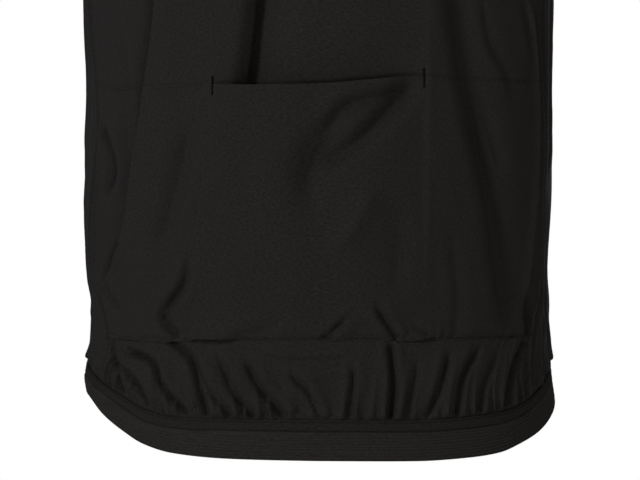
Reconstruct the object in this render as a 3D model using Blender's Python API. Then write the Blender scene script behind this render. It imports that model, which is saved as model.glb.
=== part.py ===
"""A sleeveless cycling vest of thin windproof cloth, hollow as it is when worn.

Metres, +Z up. The zip at the front faces -Y and the back, with its wide pocket, faces +Y.
The origin lies between the shoulders, at the height where the shoulder seams meet the neck.
A turn is the angle round the body: 0 at the middle of the back, rising towards the wearer's
right (-X) and falling towards the wearer's left (+X), so the zip is at 180. Across is the
distance from the middle towards the wearer's right, which is -x.
"""

import math

import bmesh
import bpy
import numpy as np


def table(columns, *rows):
    """A dictionary of arrays, one for each named column."""
    return dict(zip(columns.split(), np.array(rows, float).T))


# Cloth, as thickness and the gaps that sewn pieces keep.
CLOTH = 0.0012
ELASTIC = 0.0020
COLLAR_CLOTH = 0.0020
SEAM_GAP = 0.0003
HALF_GAP = SEAM_GAP / 2

# The body's cross-sections are superellipses of this power.
SQUARENESS = 2.3

# Half-widths to the wearer's left and right, and depths behind and in front of the origin.
SECTIONS = table(
    "height left right back front",
    (-0.710, 0.1800, 0.1870, 0.116, 0.106),
    (-0.660, 0.1810, 0.1860, 0.117, 0.108),
    (-0.640, 0.1838, 0.1836, 0.118, 0.110),
    (-0.610, 0.1785, 0.1825, 0.118, 0.112),
    (-0.585, 0.1783, 0.1805, 0.118, 0.114),
    (-0.555, 0.1820, 0.1800, 0.118, 0.116),
    (-0.500, 0.1840, 0.1825, 0.118, 0.120),
    (-0.460, 0.1840, 0.1845, 0.118, 0.122),
    (-0.415, 0.1820, 0.1840, 0.117, 0.124),
    (-0.360, 0.1845, 0.1853, 0.114, 0.127),
    (-0.300, 0.1860, 0.1860, 0.111, 0.129),
    (-0.245, 0.1880, 0.1880, 0.110, 0.128),
    (-0.160, 0.2000, 0.2000, 0.111, 0.125),
    (-0.090, 0.2300, 0.2300, 0.112, 0.120),
    (0.010, 0.2300, 0.2300, 0.112, 0.118),
)

# Shoulders: the seam runs from the neck point out to the shoulder point, and the cloth
# rounds over it from these heights below.
NECK_HALF = 0.075
NECK_EASE = 0.025
SHOULDER_HALF = 0.190
SHOULDER_DROP = 0.047
ROUNDING_BACK = 0.16
ROUNDING_FRONT = 0.20
NECK_DROP_BACK = 0.018
NECK_DROP_FRONT = 0.075
NECK_POWER_BACK = 2.5
NECK_POWER_FRONT = 2.7

# How the rows above the underarm climb to the shoulder seam and bend to the armhole's edge.
YOKE_START = 1.7
YOKE_FINISH = 1.8
YOKE_BEND = 1.5
YOKE_EDGE_SPREAD = 3
YOKE_EDGE_FADE = 4

# Side seams, and the armhole's edge from the side seam up to the shoulder point.
SIDE_SEAM_TURN = 72.0
SIDE_GAP_TURN = 0.07
ARMHOLE_BACK = table(
    "step turn height",
    (0, 72.0, -0.2450),
    (1, 67.0, -0.2390),
    (2, 61.5, -0.2235),
    (3, 56.0, -0.1970),
    (4, 51.0, -0.1600),
    (5, 47.0, -0.1220),
    (6, 45.2, -0.0920),
    (7, 48.6, -0.0670),
    (8, 53.4, -0.0475),
)
ARMHOLE_FRONT = table(
    "step turn height",
    (0, 72.0, -0.2450),
    (1, 80.0, -0.2460),
    (2, 90.0, -0.2445),
    (3, 100.0, -0.2400),
    (4, 108.0, -0.2330),
    (5, 115.0, -0.2235),
    (6, 122.0, -0.2075),
    (7, 128.5, -0.1830),
    (8, 133.5, -0.1500),
    (9, 136.2, -0.1100),
    (10, 132.2, -0.0750),
    (11, 126.6, -0.0475),
)
FRONT_CORNER_STEP = 5

# The hem drops at the back. Heights of its lower edge, and of the elastic above it.
HEM = table(
    "turn left right left_band right_band",
    (0, -0.7000, -0.7000, 0.0310, 0.0310),
    (20, -0.6985, -0.7005, 0.0300, 0.0310),
    (35, -0.6940, -0.6985, 0.0265, 0.0310),
    (45, -0.6870, -0.6960, 0.0250, 0.0305),
    (54, -0.6770, -0.6900, 0.0245, 0.0290),
    (64, -0.6670, -0.6820, 0.0255, 0.0300),
    (78, -0.6555, -0.6675, 0.0280, 0.0305),
    (92, -0.6460, -0.6555, 0.0300, 0.0310),
    (120, -0.6360, -0.6400, 0.0310, 0.0310),
    (150, -0.6320, -0.6330, 0.0310, 0.0310),
    (180, -0.6300, -0.6300, 0.0310, 0.0310),
)

BAND_PROUD = 0.0004

# The pocket: its top edge, its bottom seam, and the mouth between the two bar tacks.
POCKET_TOP = table(
    "across height",
    (-0.185, -0.4157),
    (-0.134, -0.4162),
    (-0.080, -0.4145),
    (-0.050, -0.4155),
    (0.000, -0.4148),
    (0.040, -0.4117),
    (0.078, -0.4087),
    (0.116, -0.4100),
    (0.185, -0.4112),
)
POCKET_SEAM = -0.6093
MOUTH_HALF = 0.080
MOUTH_BULGE = 0.0040
MOUTH_RECESS = 0.0055
MOUTH_RAMP_UP = 0.045
MOUTH_FLAT_DOWN = 0.110
MOUTH_RAMP_DOWN = 0.070
LAYER_PROUD = 0.0009
UNDER_POCKET_RAMP = 0.004

# Main folds of the back. Each is a trough through three points, with a ridge beside it.
FOLDS = table(
    "top top_across middle middle_across bottom bottom_across trough width ridge layer",
    (-0.250, -0.116, -0.430, -0.134, -0.572, -0.161, 0.0045, 0.0085, 0.0030, 0),
    (-0.250, -0.036, -0.370, -0.042, -0.430, -0.053, 0.0065, 0.0090, -0.0030, 1),
    (-0.250, 0.088, -0.410, 0.109, -0.605, 0.149, 0.0035, 0.0100, -0.0020, 0),
    (-0.414, 0.076, -0.452, 0.032, -0.545, -0.013, 0.0028, 0.0120, 0.0012, 0),
    (-0.545, -0.097, -0.590, -0.116, -0.645, -0.094, 0.0025, 0.0080, 0.0015, 0),
)
EVERY_LAYER = 0
UPPER_LAYER = 1
RIDGE_OFFSET_WIDTHS = 1.7
RIDGE_SPREAD_WIDTHS = 1.4
FOLD_FADES_IN = (0.0, 0.3)
FOLD_FADES_OUT = (0.8, 1.0)
BACK_FOLDS_END = (0.160, 0.176)

# Soft troughs of the fronts, by turn instead of across, alike on both sides.
FRONT_FOLDS = table(
    "top top_turn middle middle_turn bottom bottom_turn trough width ridge",
    (-0.200, 128.0, -0.380, 112.0, -0.540, 104.0, 0.0035, 5.0, 0.0020),
    (-0.260, 86.0, -0.420, 92.0, -0.590, 98.0, 0.0025, 4.0, 0.0012),
    (-0.130, 150.0, -0.260, 144.0, -0.400, 142.0, 0.0025, 5.0, -0.0012),
    (-0.360, 132.0, -0.470, 138.0, -0.580, 136.0, 0.0025, 4.5, 0.0012),
)
FRONT_FOLDS_START = (72.0, 80.0)
FRONT_FOLDS_END = (160.0, 174.0)

# Gathers where the elastic draws the cloth in.
BACK_GATHERS = 40
FRONT_GATHERS = 22
GATHER_DEPTH = 0.0019
GATHER_LEFT_AT_SEAM = 0.0004
GATHER_FADE = 0.032
GATHER_FAN = 5.0
GATHERS_START = (0.0, 0.04)
GATHERS_END = (0.95, 1.0)

# Slow waves along the hem that make the gathers uneven in spacing and in depth.
GATHER_DRIFT = table(
    "waves rate phase",
    (0.30, 17.0, 0.6),
    (0.22, 41.0, 2.1),
)
DRIFT_SAMPLES = 4001
GATHER_EVEN_SHARE = 0.78
GATHER_UNEVEN_RATES = (23.0, 9.0)
GATHER_UNEVEN_PHASE = 1.3

# Collar.
COLLAR_TOP_HALF = 0.067
COLLAR_TOP_BACK = (0.049, 0.030)
COLLAR_TOP_FRONT = (-0.079, -0.029)

# Armhole binding.
BINDING_GAP = 0.0004
BINDING_WIDTH = 0.008
BINDING_OUT = 0.0006
BINDING_IN = 0.0018

# Zip: half-width of the strip between the fronts, and its chain.
ZIP_HALF = 0.0050
CHAIN_HALF = 0.0024
CHAIN_TOP_HALF = 0.0019
CHAIN_PROUD = 0.0013
ZIP_ROWS = 26
COLLAR_ZIP_ROWS = 3
SLIDER_BELOW_TOP = 0.0105
SLIDER_SIZE = (0.0074, 0.0020, 0.0100)
BAIL_HALF = 0.0011
BAIL_SPAN = 0.0070
BAIL_THICK = 0.0009
BAIL_ROOM = 0.0019
PULL_BAR = 0.0011
PULL_EYE_HALF = 0.0015
PULL_EYE_LENGTH = 0.0062
PULL_HALF = 0.0027
PULL_LENGTH = 0.0240

# Steps over which the body's outward directions are worked out.
NORMAL_TURN = 0.2
NORMAL_REACH = 0.001
NORMAL_BELOW_SHOULDER = 0.0015

# Faces that meet more sharply than this, in degrees, keep their edge.
SHARP_ANGLE = 50

# Colour, roughness and metallic share of each material.
MATERIALS = {
    "windproof_cloth": ((0.0135, 0.0128, 0.0125), 0.55, 0.0),
    "hem_elastic": ((0.0160, 0.0150, 0.0140), 0.75, 0.0),
    "edge_binding": ((0.0130, 0.0125, 0.0120), 0.70, 0.0),
    "zip_plastic": ((0.0110, 0.0110, 0.0110), 0.45, 0.0),
    "zip_metal": ((0.0250, 0.0250, 0.0260), 0.35, 0.8),
}

# Mesh density.
NECK_COLUMNS = 6
SHOULDER_COLUMNS = 10
UNDERARM_COLUMNS = 9
FRONT_SHOULDER_COLUMNS = 8
BAND_COLUMNS = 84
PER_GATHER = 4

YOKE_ROWS = (0.10, 0.20, 0.30, 0.40, 0.51, 0.61, 0.71, 0.81, 0.91, 0.975, 1.0)
BACK_ROWS = (0.04, 0.11, 0.20, 0.32, 0.48, 0.66, 0.84, 1.0)
POCKET_ROWS = (0.0, 0.06, 0.14, 0.24, 0.34, 0.44, 0.54, 0.64, 0.74, 0.84, 0.93, 1.0)
TAIL_ROWS = (0.0, 0.2, 0.5, 1.0)
BAND_ROWS = (0.0, 0.5, 1.0)
COLLAR_ROWS = (0.0, 0.33, 0.67, 1.0)
FRONT_ROWS = table(
    "rise dense",
    (0.000, 4),
    (0.030, 4),
    (0.075, 4),
    (0.145, 2),
    (0.230, 0),
    (0.340, 0),
    (0.460, 0),
    (0.580, 0),
    (0.700, 0),
    (0.810, 0),
    (0.910, 0),
    (1.000, 0),
)


# Smooth curves ------------------------------------------------------------------------------


def knot_slopes(knots, values):
    """Slopes that keep the curve from swinging past its knots."""
    secants = np.diff(values) / np.diff(knots)
    before, after = secants[:-1], secants[1:]
    alike = before * after > 0
    total = np.where(alike, before + after, 1)
    inner = np.where(alike, 2 * before * after / total, 0)
    return np.concatenate([secants[:1], inner, secants[-1:]])


def smooth(at, knots, values):
    """A smooth curve through the values at the knots, held level beyond its ends."""
    slopes = knot_slopes(knots, values)
    at = np.clip(at, knots[0], knots[-1])
    low = np.clip(np.searchsorted(knots, at) - 1, 0, len(knots) - 2)
    span = knots[low + 1] - knots[low]
    t = (at - knots[low]) / span
    hermite_low = (1 + 2 * t) * (1 - t) ** 2
    hermite_high = t**2 * (3 - 2 * t)
    bend_low = t * (1 - t) ** 2 * span
    bend_high = t**2 * (t - 1) * span
    placed = hermite_low * values[low] + hermite_high * values[low + 1]
    return placed + bend_low * slopes[low] + bend_high * slopes[low + 1]


def step_up(at, start, end):
    """0 before start and 1 after end, with a soft rise between."""
    t = np.clip((at - start) / (end - start), 0, 1)
    return t * t * (3 - 2 * t)


def signed_power(value, power):
    return np.sign(value) * np.abs(value) ** power


# The body's surface -------------------------------------------------------------------------


def shoulder_height(across):
    """Height of the shoulder line, which eases into level over the neck."""
    beyond = np.abs(across) - NECK_HALF
    eased = (beyond + np.hypot(beyond, NECK_EASE)) / 2
    return -SHOULDER_DROP * eased / (SHOULDER_HALF - NECK_HALF)


def top_height(across, back):
    """Height of a panel's top edge: the neckline and, beyond it, the shoulder seam."""
    drop = NECK_DROP_BACK if back else NECK_DROP_FRONT
    power = NECK_POWER_BACK if back else NECK_POWER_FRONT
    inside = np.minimum(np.abs(across) / NECK_HALF, 1)
    return shoulder_height(across) - drop * (1 - inside**power)


def section(height):
    """Half-widths and depths of the body at a height."""
    knots = SECTIONS["height"]
    return {name: smooth(height, knots, SECTIONS[name]) for name in ("left", "right", "back", "front")}


def body(turn, height, proud=0.0):
    """Points of the worn surface, moved out level by proud."""
    turn, height = np.broadcast_arrays(np.asarray(turn, float), np.asarray(height, float))
    sine = np.sin(np.radians(turn))
    cosine = np.cos(np.radians(turn))
    size = section(height)
    half = np.where(sine > 0, size["right"], size["left"])
    depth = np.where(cosine > 0, size["back"], size["front"])
    along = signed_power(sine, 2 / SQUARENESS)
    behind = signed_power(cosine, 2 / SQUARENESS)
    across = half * along
    rounding = np.where(cosine > 0, ROUNDING_BACK, ROUNDING_FRONT)
    fall = np.clip((shoulder_height(across) - height) / rounding, 0, 1)
    closing = np.sqrt(1 - (1 - fall) ** 2)
    out_across = signed_power(along, SQUARENESS - 1) / half
    out_behind = signed_power(behind, SQUARENESS - 1) / depth
    size_out = np.hypot(out_across, out_behind)
    x = -(across + proud * out_across / size_out)
    y = depth * behind * closing + np.sign(cosine) * HALF_GAP + proud * out_behind / size_out
    return np.stack([x, y, height + 0 * x], axis=-1)


def turn_at(across, half):
    """Turn at which a section of this half-width is that far across."""
    return np.degrees(np.arcsin(np.clip(np.abs(across) / half, 0, 1) ** (SQUARENESS / 2)))


def zip_turn(height):
    """How far short of 180 the zip's edge lies."""
    return turn_at(ZIP_HALF, section(height)["right"])


def across_at(turn, height):
    return -body(turn, height)[..., 0]


# Hem, pocket and folds ----------------------------------------------------------------------


def hem_height(turn):
    left = smooth(np.abs(turn), HEM["turn"], HEM["left"])
    right = smooth(np.abs(turn), HEM["turn"], HEM["right"])
    return np.where(np.asarray(turn) > 0, right, left)


def band_top(turn):
    left = smooth(np.abs(turn), HEM["turn"], HEM["left_band"])
    right = smooth(np.abs(turn), HEM["turn"], HEM["right_band"])
    return hem_height(turn) + np.where(np.asarray(turn) > 0, right, left)


def pocket_edge(across):
    return smooth(across, POCKET_TOP["across"], POCKET_TOP["height"])


def mouth_opening(across, height):
    """1 where the pocket stands open and 0 where its layers lie together."""
    wide = np.maximum(1 - (np.abs(across) / MOUTH_HALF) ** 4, 0)
    below = pocket_edge(across) - height
    fade = 1 - step_up(below, MOUTH_FLAT_DOWN, MOUTH_FLAT_DOWN + MOUTH_RAMP_DOWN)
    return wide * fade * step_up(below, -MOUTH_RAMP_UP, 0)


def three_point(height, tops, middles, bottoms):
    """The parabola through three (height, place) points."""
    points = (tops, middles, bottoms)
    place = 0
    for i, (own, value) in enumerate(points):
        others = [points[j][0] for j in range(3) if j != i]
        weight = (height - others[0]) * (height - others[1])
        place = place + value * weight / ((own - others[0]) * (own - others[1]))
    return place


def trough(offset, height, row):
    """Relief of one fold at this offset from its line: a trough with a ridge beside it."""
    length = row["top"] - row["bottom"]
    down = (row["top"] - height) / length
    along = step_up(down, *FOLD_FADES_IN) * (1 - step_up(down, *FOLD_FADES_OUT))
    side = math.copysign(RIDGE_OFFSET_WIDTHS, row["ridge"]) * row["width"]
    spread = RIDGE_SPREAD_WIDTHS * row["width"]
    dip = row["trough"] * np.exp(-((offset / row["width"]) ** 2))
    rise = abs(row["ridge"]) * np.exp(-(((offset - side) / spread) ** 2))
    return along * (rise - dip)


def rows_of(folds):
    names = list(folds)
    return [dict(zip(names, values)) for values in zip(*folds.values())]


def back_relief(across, height, layers):
    """How far the folds move the back's cloth out."""
    relief = 0
    for row in rows_of(FOLDS):
        if row["layer"] not in layers:
            continue
        line = three_point(
            height,
            (row["top"], row["top_across"]),
            (row["middle"], row["middle_across"]),
            (row["bottom"], row["bottom_across"]),
        )
        relief = relief + trough(across - line, height, row)
    return relief * (1 - step_up(np.abs(across), *BACK_FOLDS_END))


def front_relief(turn, height):
    relief = 0
    turn = np.abs(turn)
    for row in rows_of(FRONT_FOLDS):
        line = three_point(
            height,
            (row["top"], row["top_turn"]),
            (row["middle"], row["middle_turn"]),
            (row["bottom"], row["bottom_turn"]),
        )
        relief = relief + trough(turn - line, height, row)
    return relief * step_up(turn, *FRONT_FOLDS_START) * (1 - step_up(turn, *FRONT_FOLDS_END))


# Gathers ------------------------------------------------------------------------------------


def gather_drift(place):
    drift = 0
    for row in rows_of(GATHER_DRIFT):
        drift = drift + row["waves"] * np.sin(row["rate"] * place + row["phase"])
    return drift


def gather_cycles(place, count):
    """Waves passed at a place from 0 to 1, unevenly spaced."""
    start, end = gather_drift(0.0), gather_drift(1.0)
    return count * place + gather_drift(place) - start - (end - start) * place


def gather_depth(place, above):
    """Half the height of the waves, which fade above the elastic."""
    fast, slow = GATHER_UNEVEN_RATES
    swing = np.sin(fast * place + GATHER_UNEVEN_PHASE) * np.cos(slow * place)
    uneven = GATHER_EVEN_SHARE + (1 - GATHER_EVEN_SHARE) * swing
    ends = step_up(place, *GATHERS_START) * (1 - step_up(place, *GATHERS_END))
    fading = GATHER_LEFT_AT_SEAM + (GATHER_DEPTH - GATHER_LEFT_AT_SEAM) * np.exp(-above / GATHER_FADE)
    return uneven * ends * fading


def gather_places(count, per_wave):
    """Places of the columns, so many to a wave and set on its crests and troughs."""
    fine = np.linspace(0, 1, DRIFT_SAMPLES)
    phases = np.linspace(0, count, count * per_wave + 1)
    return np.interp(phases, gather_cycles(fine, count), fine)


# Walls --------------------------------------------------------------------------------------


def strip(low, high, low_places, high_places):
    """Triangles between two rows of points, matched by their places along the rows."""
    triangles = []
    i = j = 0
    while i < len(low) - 1 or j < len(high) - 1:
        next_low = low_places[i + 1] if i < len(low) - 1 else math.inf
        next_high = high_places[j + 1] if j < len(high) - 1 else math.inf
        if next_low <= next_high:
            triangles.append((low[i], low[i + 1], high[j]))
            i += 1
        else:
            triangles.append((low[i], high[j + 1], high[j]))
            j += 1
    return triangles


def cloth_row(turn, height, proud, places, skip=(0, 0)):
    """A row of a sheet on the body. Its skipped end columns aren't joined to the next row."""
    return {
        "points": body(turn, height, proud),
        "places": places,
        "skip": skip,
        "turn": turn,
        "height": height,
    }


def reversed_columns(row):
    """The same row with its columns in the opposite order."""
    turned = {name: row[name][::-1] for name in row}
    turned["places"] = 1 - turned["places"]
    return turned


def surface(rows):
    """Points and triangles of an open sheet."""
    points = np.concatenate([row["points"] for row in rows])
    starts = np.cumsum([0] + [len(row["points"]) for row in rows])
    triangles = []
    for k in range(len(rows) - 1):
        skip_first, skip_last = rows[k]["skip"]
        low = list(range(starts[k] + skip_first, starts[k + 1] - skip_last))
        high = list(range(starts[k + 1], starts[k + 2]))
        places = rows[k]["places"][skip_first : len(rows[k]["places"]) - skip_last]
        triangles += strip(low, high, places, rows[k + 1]["places"])
    return points, np.array(triangles)


def point_normals(points, triangles):
    a, b, c = (points[triangles[:, k]] for k in range(3))
    faces = np.cross(b - a, c - a)
    normals = np.zeros_like(points)
    for k in range(3):
        np.add.at(normals, triangles[:, k], faces)
    return normals / np.linalg.norm(normals, axis=1, keepdims=True)


def boundary_edges(triangles):
    """Directed edges that only one triangle has."""
    edges = {(int(t[k]), int(t[(k + 1) % 3])) for t in triangles for k in range(3)}
    return sorted(edge for edge in edges if (edge[1], edge[0]) not in edges)


def body_normals(turn, height):
    """Outward directions of the body's surface; on the shoulder seam they lean neither way."""
    across = across_at(turn, height)
    on_seam = (shoulder_height(across) - height < SEAM_GAP) & (np.abs(across) > NECK_HALF - SEAM_GAP)
    height = np.minimum(height, shoulder_height(across) - NORMAL_BELOW_SHOULDER)
    round_body = body(turn + NORMAL_TURN, height) - body(turn - NORMAL_TURN, height)
    up_body = body(turn, height + NORMAL_REACH) - body(turn, height - NORMAL_REACH)
    normals = np.cross(round_body, up_body)
    normals[on_seam, 1] = 0
    return normals / np.linalg.norm(normals, axis=1, keepdims=True)


def along_seam(inward, row):
    """Inward directions that keep a row's rim in line with a seam that climbs."""
    line = np.gradient(body(row["turn"], row["height"]), axis=0)
    run = np.hypot(line[:, 0], line[:, 1])
    shift = (inward[:, 0] * line[:, 0] + inward[:, 1] * line[:, 1]) / run
    level = np.hypot(inward[:, 0], inward[:, 1])
    squared = np.column_stack([inward[:, :2], shift * line[:, 2] / run])
    return squared / level[:, None]


def wall(name, rows, thickness, material, seam_rows=()):
    """A closed wall: the sheet as its outer face, a copy inside it, and rims between.

    The rims follow the body's own directions and, in the rows of seam_rows, the seam's line.
    """
    points, triangles = surface(rows)
    rim = boundary_edges(triangles)
    inward = -point_normals(points, triangles)
    turn = np.concatenate([row["turn"] for row in rows])
    height = np.concatenate([row["height"] for row in rows])
    edge = sorted({a for a, b in rim})
    starts = np.cumsum([0] + [len(row["points"]) for row in rows])
    seams = {k % len(rows): inward[starts[k % len(rows)] : starts[k % len(rows) + 1]] for k in seam_rows}
    squared = {k: along_seam(own, rows[k]) for k, own in seams.items()}
    inward[edge] = -body_normals(turn[edge], height[edge])
    for k, own in squared.items():
        inward[starts[k] : starts[k + 1]] = own
    count = len(points)
    faces = [tuple(map(int, t)) for t in triangles]
    faces += [(int(c) + count, int(b) + count, int(a) + count) for a, b, c in triangles]
    for a, b in rim:
        faces += [(b, a, a + count), (b, a + count, b + count)]
    return make_object(name, np.concatenate([points, points + inward * thickness]), faces, material)


def sweep(name, lines, closed, material):
    """A solid whose cross-section is carried along lines, one from each of its corners."""
    count = len(lines[0])
    corners = len(lines)
    runs = count if closed else count - 1
    faces = []
    for k in range(corners):
        for i in range(runs):
            a, b = k * count + i, k * count + (i + 1) % count
            after = (k + 1) % corners * count
            faces += [(a, b, after + (i + 1) % count), (a, after + (i + 1) % count, after + i)]
    if not closed:
        faces.append(tuple(k * count for k in range(corners)))
        faces.append(tuple(k * count + count - 1 for k in reversed(range(corners))))
    made = make_object(name, np.concatenate(lines), faces, material)
    shape = bmesh.new()
    shape.from_mesh(made.data)
    if shape.calc_volume(signed=True) < 0:
        bmesh.ops.reverse_faces(shape, faces=shape.faces)
    shape.to_mesh(made.data)
    shape.free()
    return made


def make_object(name, points, faces, material):
    mesh = bpy.data.meshes.new(name)
    mesh.from_pydata([tuple(map(float, p)) for p in points], [], faces)
    mesh.update()
    mesh.shade_smooth()
    mesh.set_sharp_from_angle(angle=math.radians(SHARP_ANGLE))
    mesh.materials.append(material)
    made = bpy.data.objects.new(name, mesh)
    bpy.context.scene.collection.objects.link(made)
    return made


def make_material(name):
    colour, roughness, metallic = MATERIALS[name]
    material = bpy.data.materials.new(name)
    material.use_nodes = True
    shader = material.node_tree.nodes["Principled BSDF"]
    shader.inputs["Base Color"].default_value = (*colour, 1)
    shader.inputs["Roughness"].default_value = roughness
    shader.inputs["Metallic"].default_value = metallic
    return material


# Panels -------------------------------------------------------------------------------------


def neck_fractions():
    """Column fractions from the middle to the neck point, even round the neckline."""
    turns = np.linspace(0, math.pi / 2, NECK_COLUMNS + 1)
    top_half = SECTIONS["right"][-1]
    return turn_at(NECK_HALF * np.sin(turns), top_half) / turn_at(SHOULDER_HALF, top_half)


def yoke_fractions(outer):
    """Column fractions from the middle (0) to the armhole (1)."""
    inner = neck_fractions()
    beyond = np.linspace(inner[-1], 1, outer + 1)[1:]
    return np.concatenate([inner, beyond])


def yoke_row(fractions, rise, armhole, first_step, base_turn, back):
    """One row above the underarm, from the middle (0) out to the armhole's edge (1)."""
    step = first_step + rise * (armhole["step"][-1] - first_step)
    edge_turn = smooth(step, armhole["step"], armhole["turn"])
    edge_height = smooth(step, armhole["step"], armhole["height"])
    base_height = armhole["height"][first_step]
    across_low = across_at(fractions * base_turn, base_height)
    across_high = across_at(fractions * turn_at(SHOULDER_HALF, SECTIONS["right"][-1]), 0.0)
    straight = across_low + rise * (across_high - across_low)
    beyond = np.maximum(fractions - neck_fractions()[-1], 0) / (1 - neck_fractions()[-1])
    across = straight + beyond**YOKE_BEND * (across_at(edge_turn, edge_height) - straight[-1])
    climb = 1 - (1 - rise**YOKE_START) ** YOKE_FINISH
    middle = base_height + (top_height(across_high, back) - base_height) * climb
    near_top = rise**YOKE_EDGE_FADE
    lean = fractions**YOKE_EDGE_SPREAD * (1 - near_top) + near_top * (fractions >= 1)
    height = middle + (edge_height - middle) * lean
    if not back:
        across = np.maximum(across, ZIP_HALF)
    turn = turn_at(across, section(height)["right"])
    return (turn if back else 180 - turn), height


def back_proud(turn, height):
    across = across_at(turn, height)
    under = step_up(pocket_edge(across) - height, -UNDER_POCKET_RAMP, 0)
    relief = back_relief(across, height, (EVERY_LAYER, UPPER_LAYER))
    return relief - LAYER_PROUD * under - MOUTH_RECESS * mouth_opening(across, height)


def back_fractions():
    right = yoke_fractions(SHOULDER_COLUMNS)
    return np.concatenate([-right[:0:-1], right])


def pocket_rows():
    """Turns and heights of the rows that the pocket shares with the layer behind it."""
    turn = back_fractions() * (SIDE_SEAM_TURN - SIDE_GAP_TURN)
    top = pocket_edge(across_at(turn, POCKET_TOP["height"][0]))
    base = POCKET_SEAM + HALF_GAP
    return [(turn, base + rise * (top - base)) for rise in POCKET_ROWS]


def make_back(material):
    """Upper back and, below the pocket's edge, the layer that lies behind the pocket."""
    fractions = back_fractions()
    places = pocket_rows()
    turn, low = places[-1]
    high = ARMHOLE_BACK["height"][0]
    places += [(turn, low + rise * (high - low)) for rise in BACK_ROWS]
    right = yoke_fractions(SHOULDER_COLUMNS)
    for rise in YOKE_ROWS:
        turn, height = yoke_row(right, rise, ARMHOLE_BACK, 0, ARMHOLE_BACK["turn"][0], True)
        turn = np.concatenate([-turn[:0:-1], turn])
        height = np.concatenate([height[:0:-1], height])
        places.append((turn, height))
    rows = [cloth_row(turn, height, back_proud(turn, height), fractions) for turn, height in places]
    return wall("back", rows, CLOTH, material, seam_rows=(0,))


def make_back_pocket(material):
    """Full-width outer layer, open along the middle of its top edge."""
    fractions = back_fractions()
    rows = []
    for turn, height in pocket_rows():
        across = across_at(turn, height)
        proud = LAYER_PROUD + MOUTH_BULGE * mouth_opening(across, height)
        proud = proud + back_relief(across, height, (EVERY_LAYER,))
        rows.append(cloth_row(turn, height, proud, fractions))
    return wall("back_pocket", rows, CLOTH, material, seam_rows=(0, -1))


def make_back_tail(material):
    """Strip between the pocket's bottom seam and the elastic, which gathers it."""
    side = SIDE_SEAM_TURN - SIDE_GAP_TURN
    places = gather_places(BACK_GATHERS, PER_GATHER)
    waves = np.cos(2 * math.pi * gather_cycles(places, BACK_GATHERS))
    rows = []
    for rise in TAIL_ROWS:
        spread = 2 * places - 1
        base = band_top(spread * side) + HALF_GAP
        height = base + rise * (POCKET_SEAM - HALF_GAP - base)
        above = height - base
        turn = side * spread * (1 + GATHER_FAN * above * (1 - spread**2))
        relief = back_relief(across_at(turn, height), height, (EVERY_LAYER,))
        rows.append(cloth_row(turn, height, waves * gather_depth(places, above) + relief, places))
    return wall("back_tail", rows, CLOTH, material, seam_rows=(0, -1))


def front_columns(dense):
    """Places of a front's columns from the side seam (0) to the zip (1)."""
    if dense:
        return gather_places(FRONT_GATHERS, int(dense))
    corner_turn = ARMHOLE_FRONT["turn"][FRONT_CORNER_STEP]
    corner = (corner_turn - SIDE_SEAM_TURN) / (180 - SIDE_SEAM_TURN)
    under = np.linspace(0, corner, UNDERARM_COLUMNS + 1)[:-1]
    inner = 1 - yoke_fractions(FRONT_SHOULDER_COLUMNS)[::-1] * (1 - corner)
    return np.concatenate([under, inner])


def armhole_bottom(turn):
    """Height of a front's edge under the arm, and of the level line on from there."""
    own = slice(0, FRONT_CORNER_STEP + 1)
    return smooth(np.abs(turn), ARMHOLE_FRONT["turn"][own], ARMHOLE_FRONT["height"][own])


def make_front(name, sign, material):
    """One front, from its side seam behind the arm round to the zip."""
    rows = []
    side = SIDE_SEAM_TURN + SIDE_GAP_TURN
    for rise, dense in zip(FRONT_ROWS["rise"], FRONT_ROWS["dense"]):
        places = front_columns(dense)
        turn = side + places * (180 - side)
        base = band_top(sign * turn) + HALF_GAP
        height = base + rise * (armhole_bottom(turn) - base)
        turn = np.minimum(turn, 180 - zip_turn(height))
        waves = np.cos(2 * math.pi * gather_cycles(places, FRONT_GATHERS))
        above = height - base
        proud = front_relief(turn, height)
        if dense:
            proud = proud + waves * gather_depth(places, above)
        skip = UNDERARM_COLUMNS if rise == 1 else 0
        rows.append(cloth_row(sign * turn, height, proud, places, (skip, 0)))
    corner_turn = 180 - ARMHOLE_FRONT["turn"][FRONT_CORNER_STEP]
    fractions = yoke_fractions(FRONT_SHOULDER_COLUMNS)
    for rise in YOKE_ROWS:
        turn, height = yoke_row(fractions, rise, ARMHOLE_FRONT, FRONT_CORNER_STEP, corner_turn, False)
        turn, height = turn[::-1], height[::-1]
        places = front_columns(0)[UNDERARM_COLUMNS:]
        rows.append(cloth_row(sign * turn, height, front_relief(turn, height), places))
    if sign < 0:
        rows = [reversed_columns(row) for row in rows]
    return wall(name, rows, CLOTH, material, seam_rows=(0,))


def make_hem_band(material):
    """Wide elastic all round the hem, with its two ends at the zip."""
    places = np.linspace(-1, 1, BAND_COLUMNS + 1)
    rows = []
    for rise in BAND_ROWS:
        turn = places * 180
        height = hem_height(turn) + rise * (band_top(turn) - HALF_GAP - hem_height(turn))
        turn = np.clip(turn, zip_turn(height) - 180, 180 - zip_turn(height))
        rows.append(cloth_row(turn, height, BAND_PROUD, places))
    return wall("hem_band", rows, ELASTIC, material, seam_rows=(0, -1))


# Collar and bindings ------------------------------------------------------------------------


def neckline(angle):
    """Points of the neckline at angles round it: 0 at the back and half a turn at the zip."""
    across = NECK_HALF * np.sin(angle)
    back = np.cos(angle) > 0
    height = np.where(back, top_height(across, True), top_height(across, False))
    turn = np.sign(across) * turn_at(across, section(height)["right"])
    turn = np.where(back, turn, np.where(across < 0, -180, 180) - turn)
    return body(turn, height)


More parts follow.
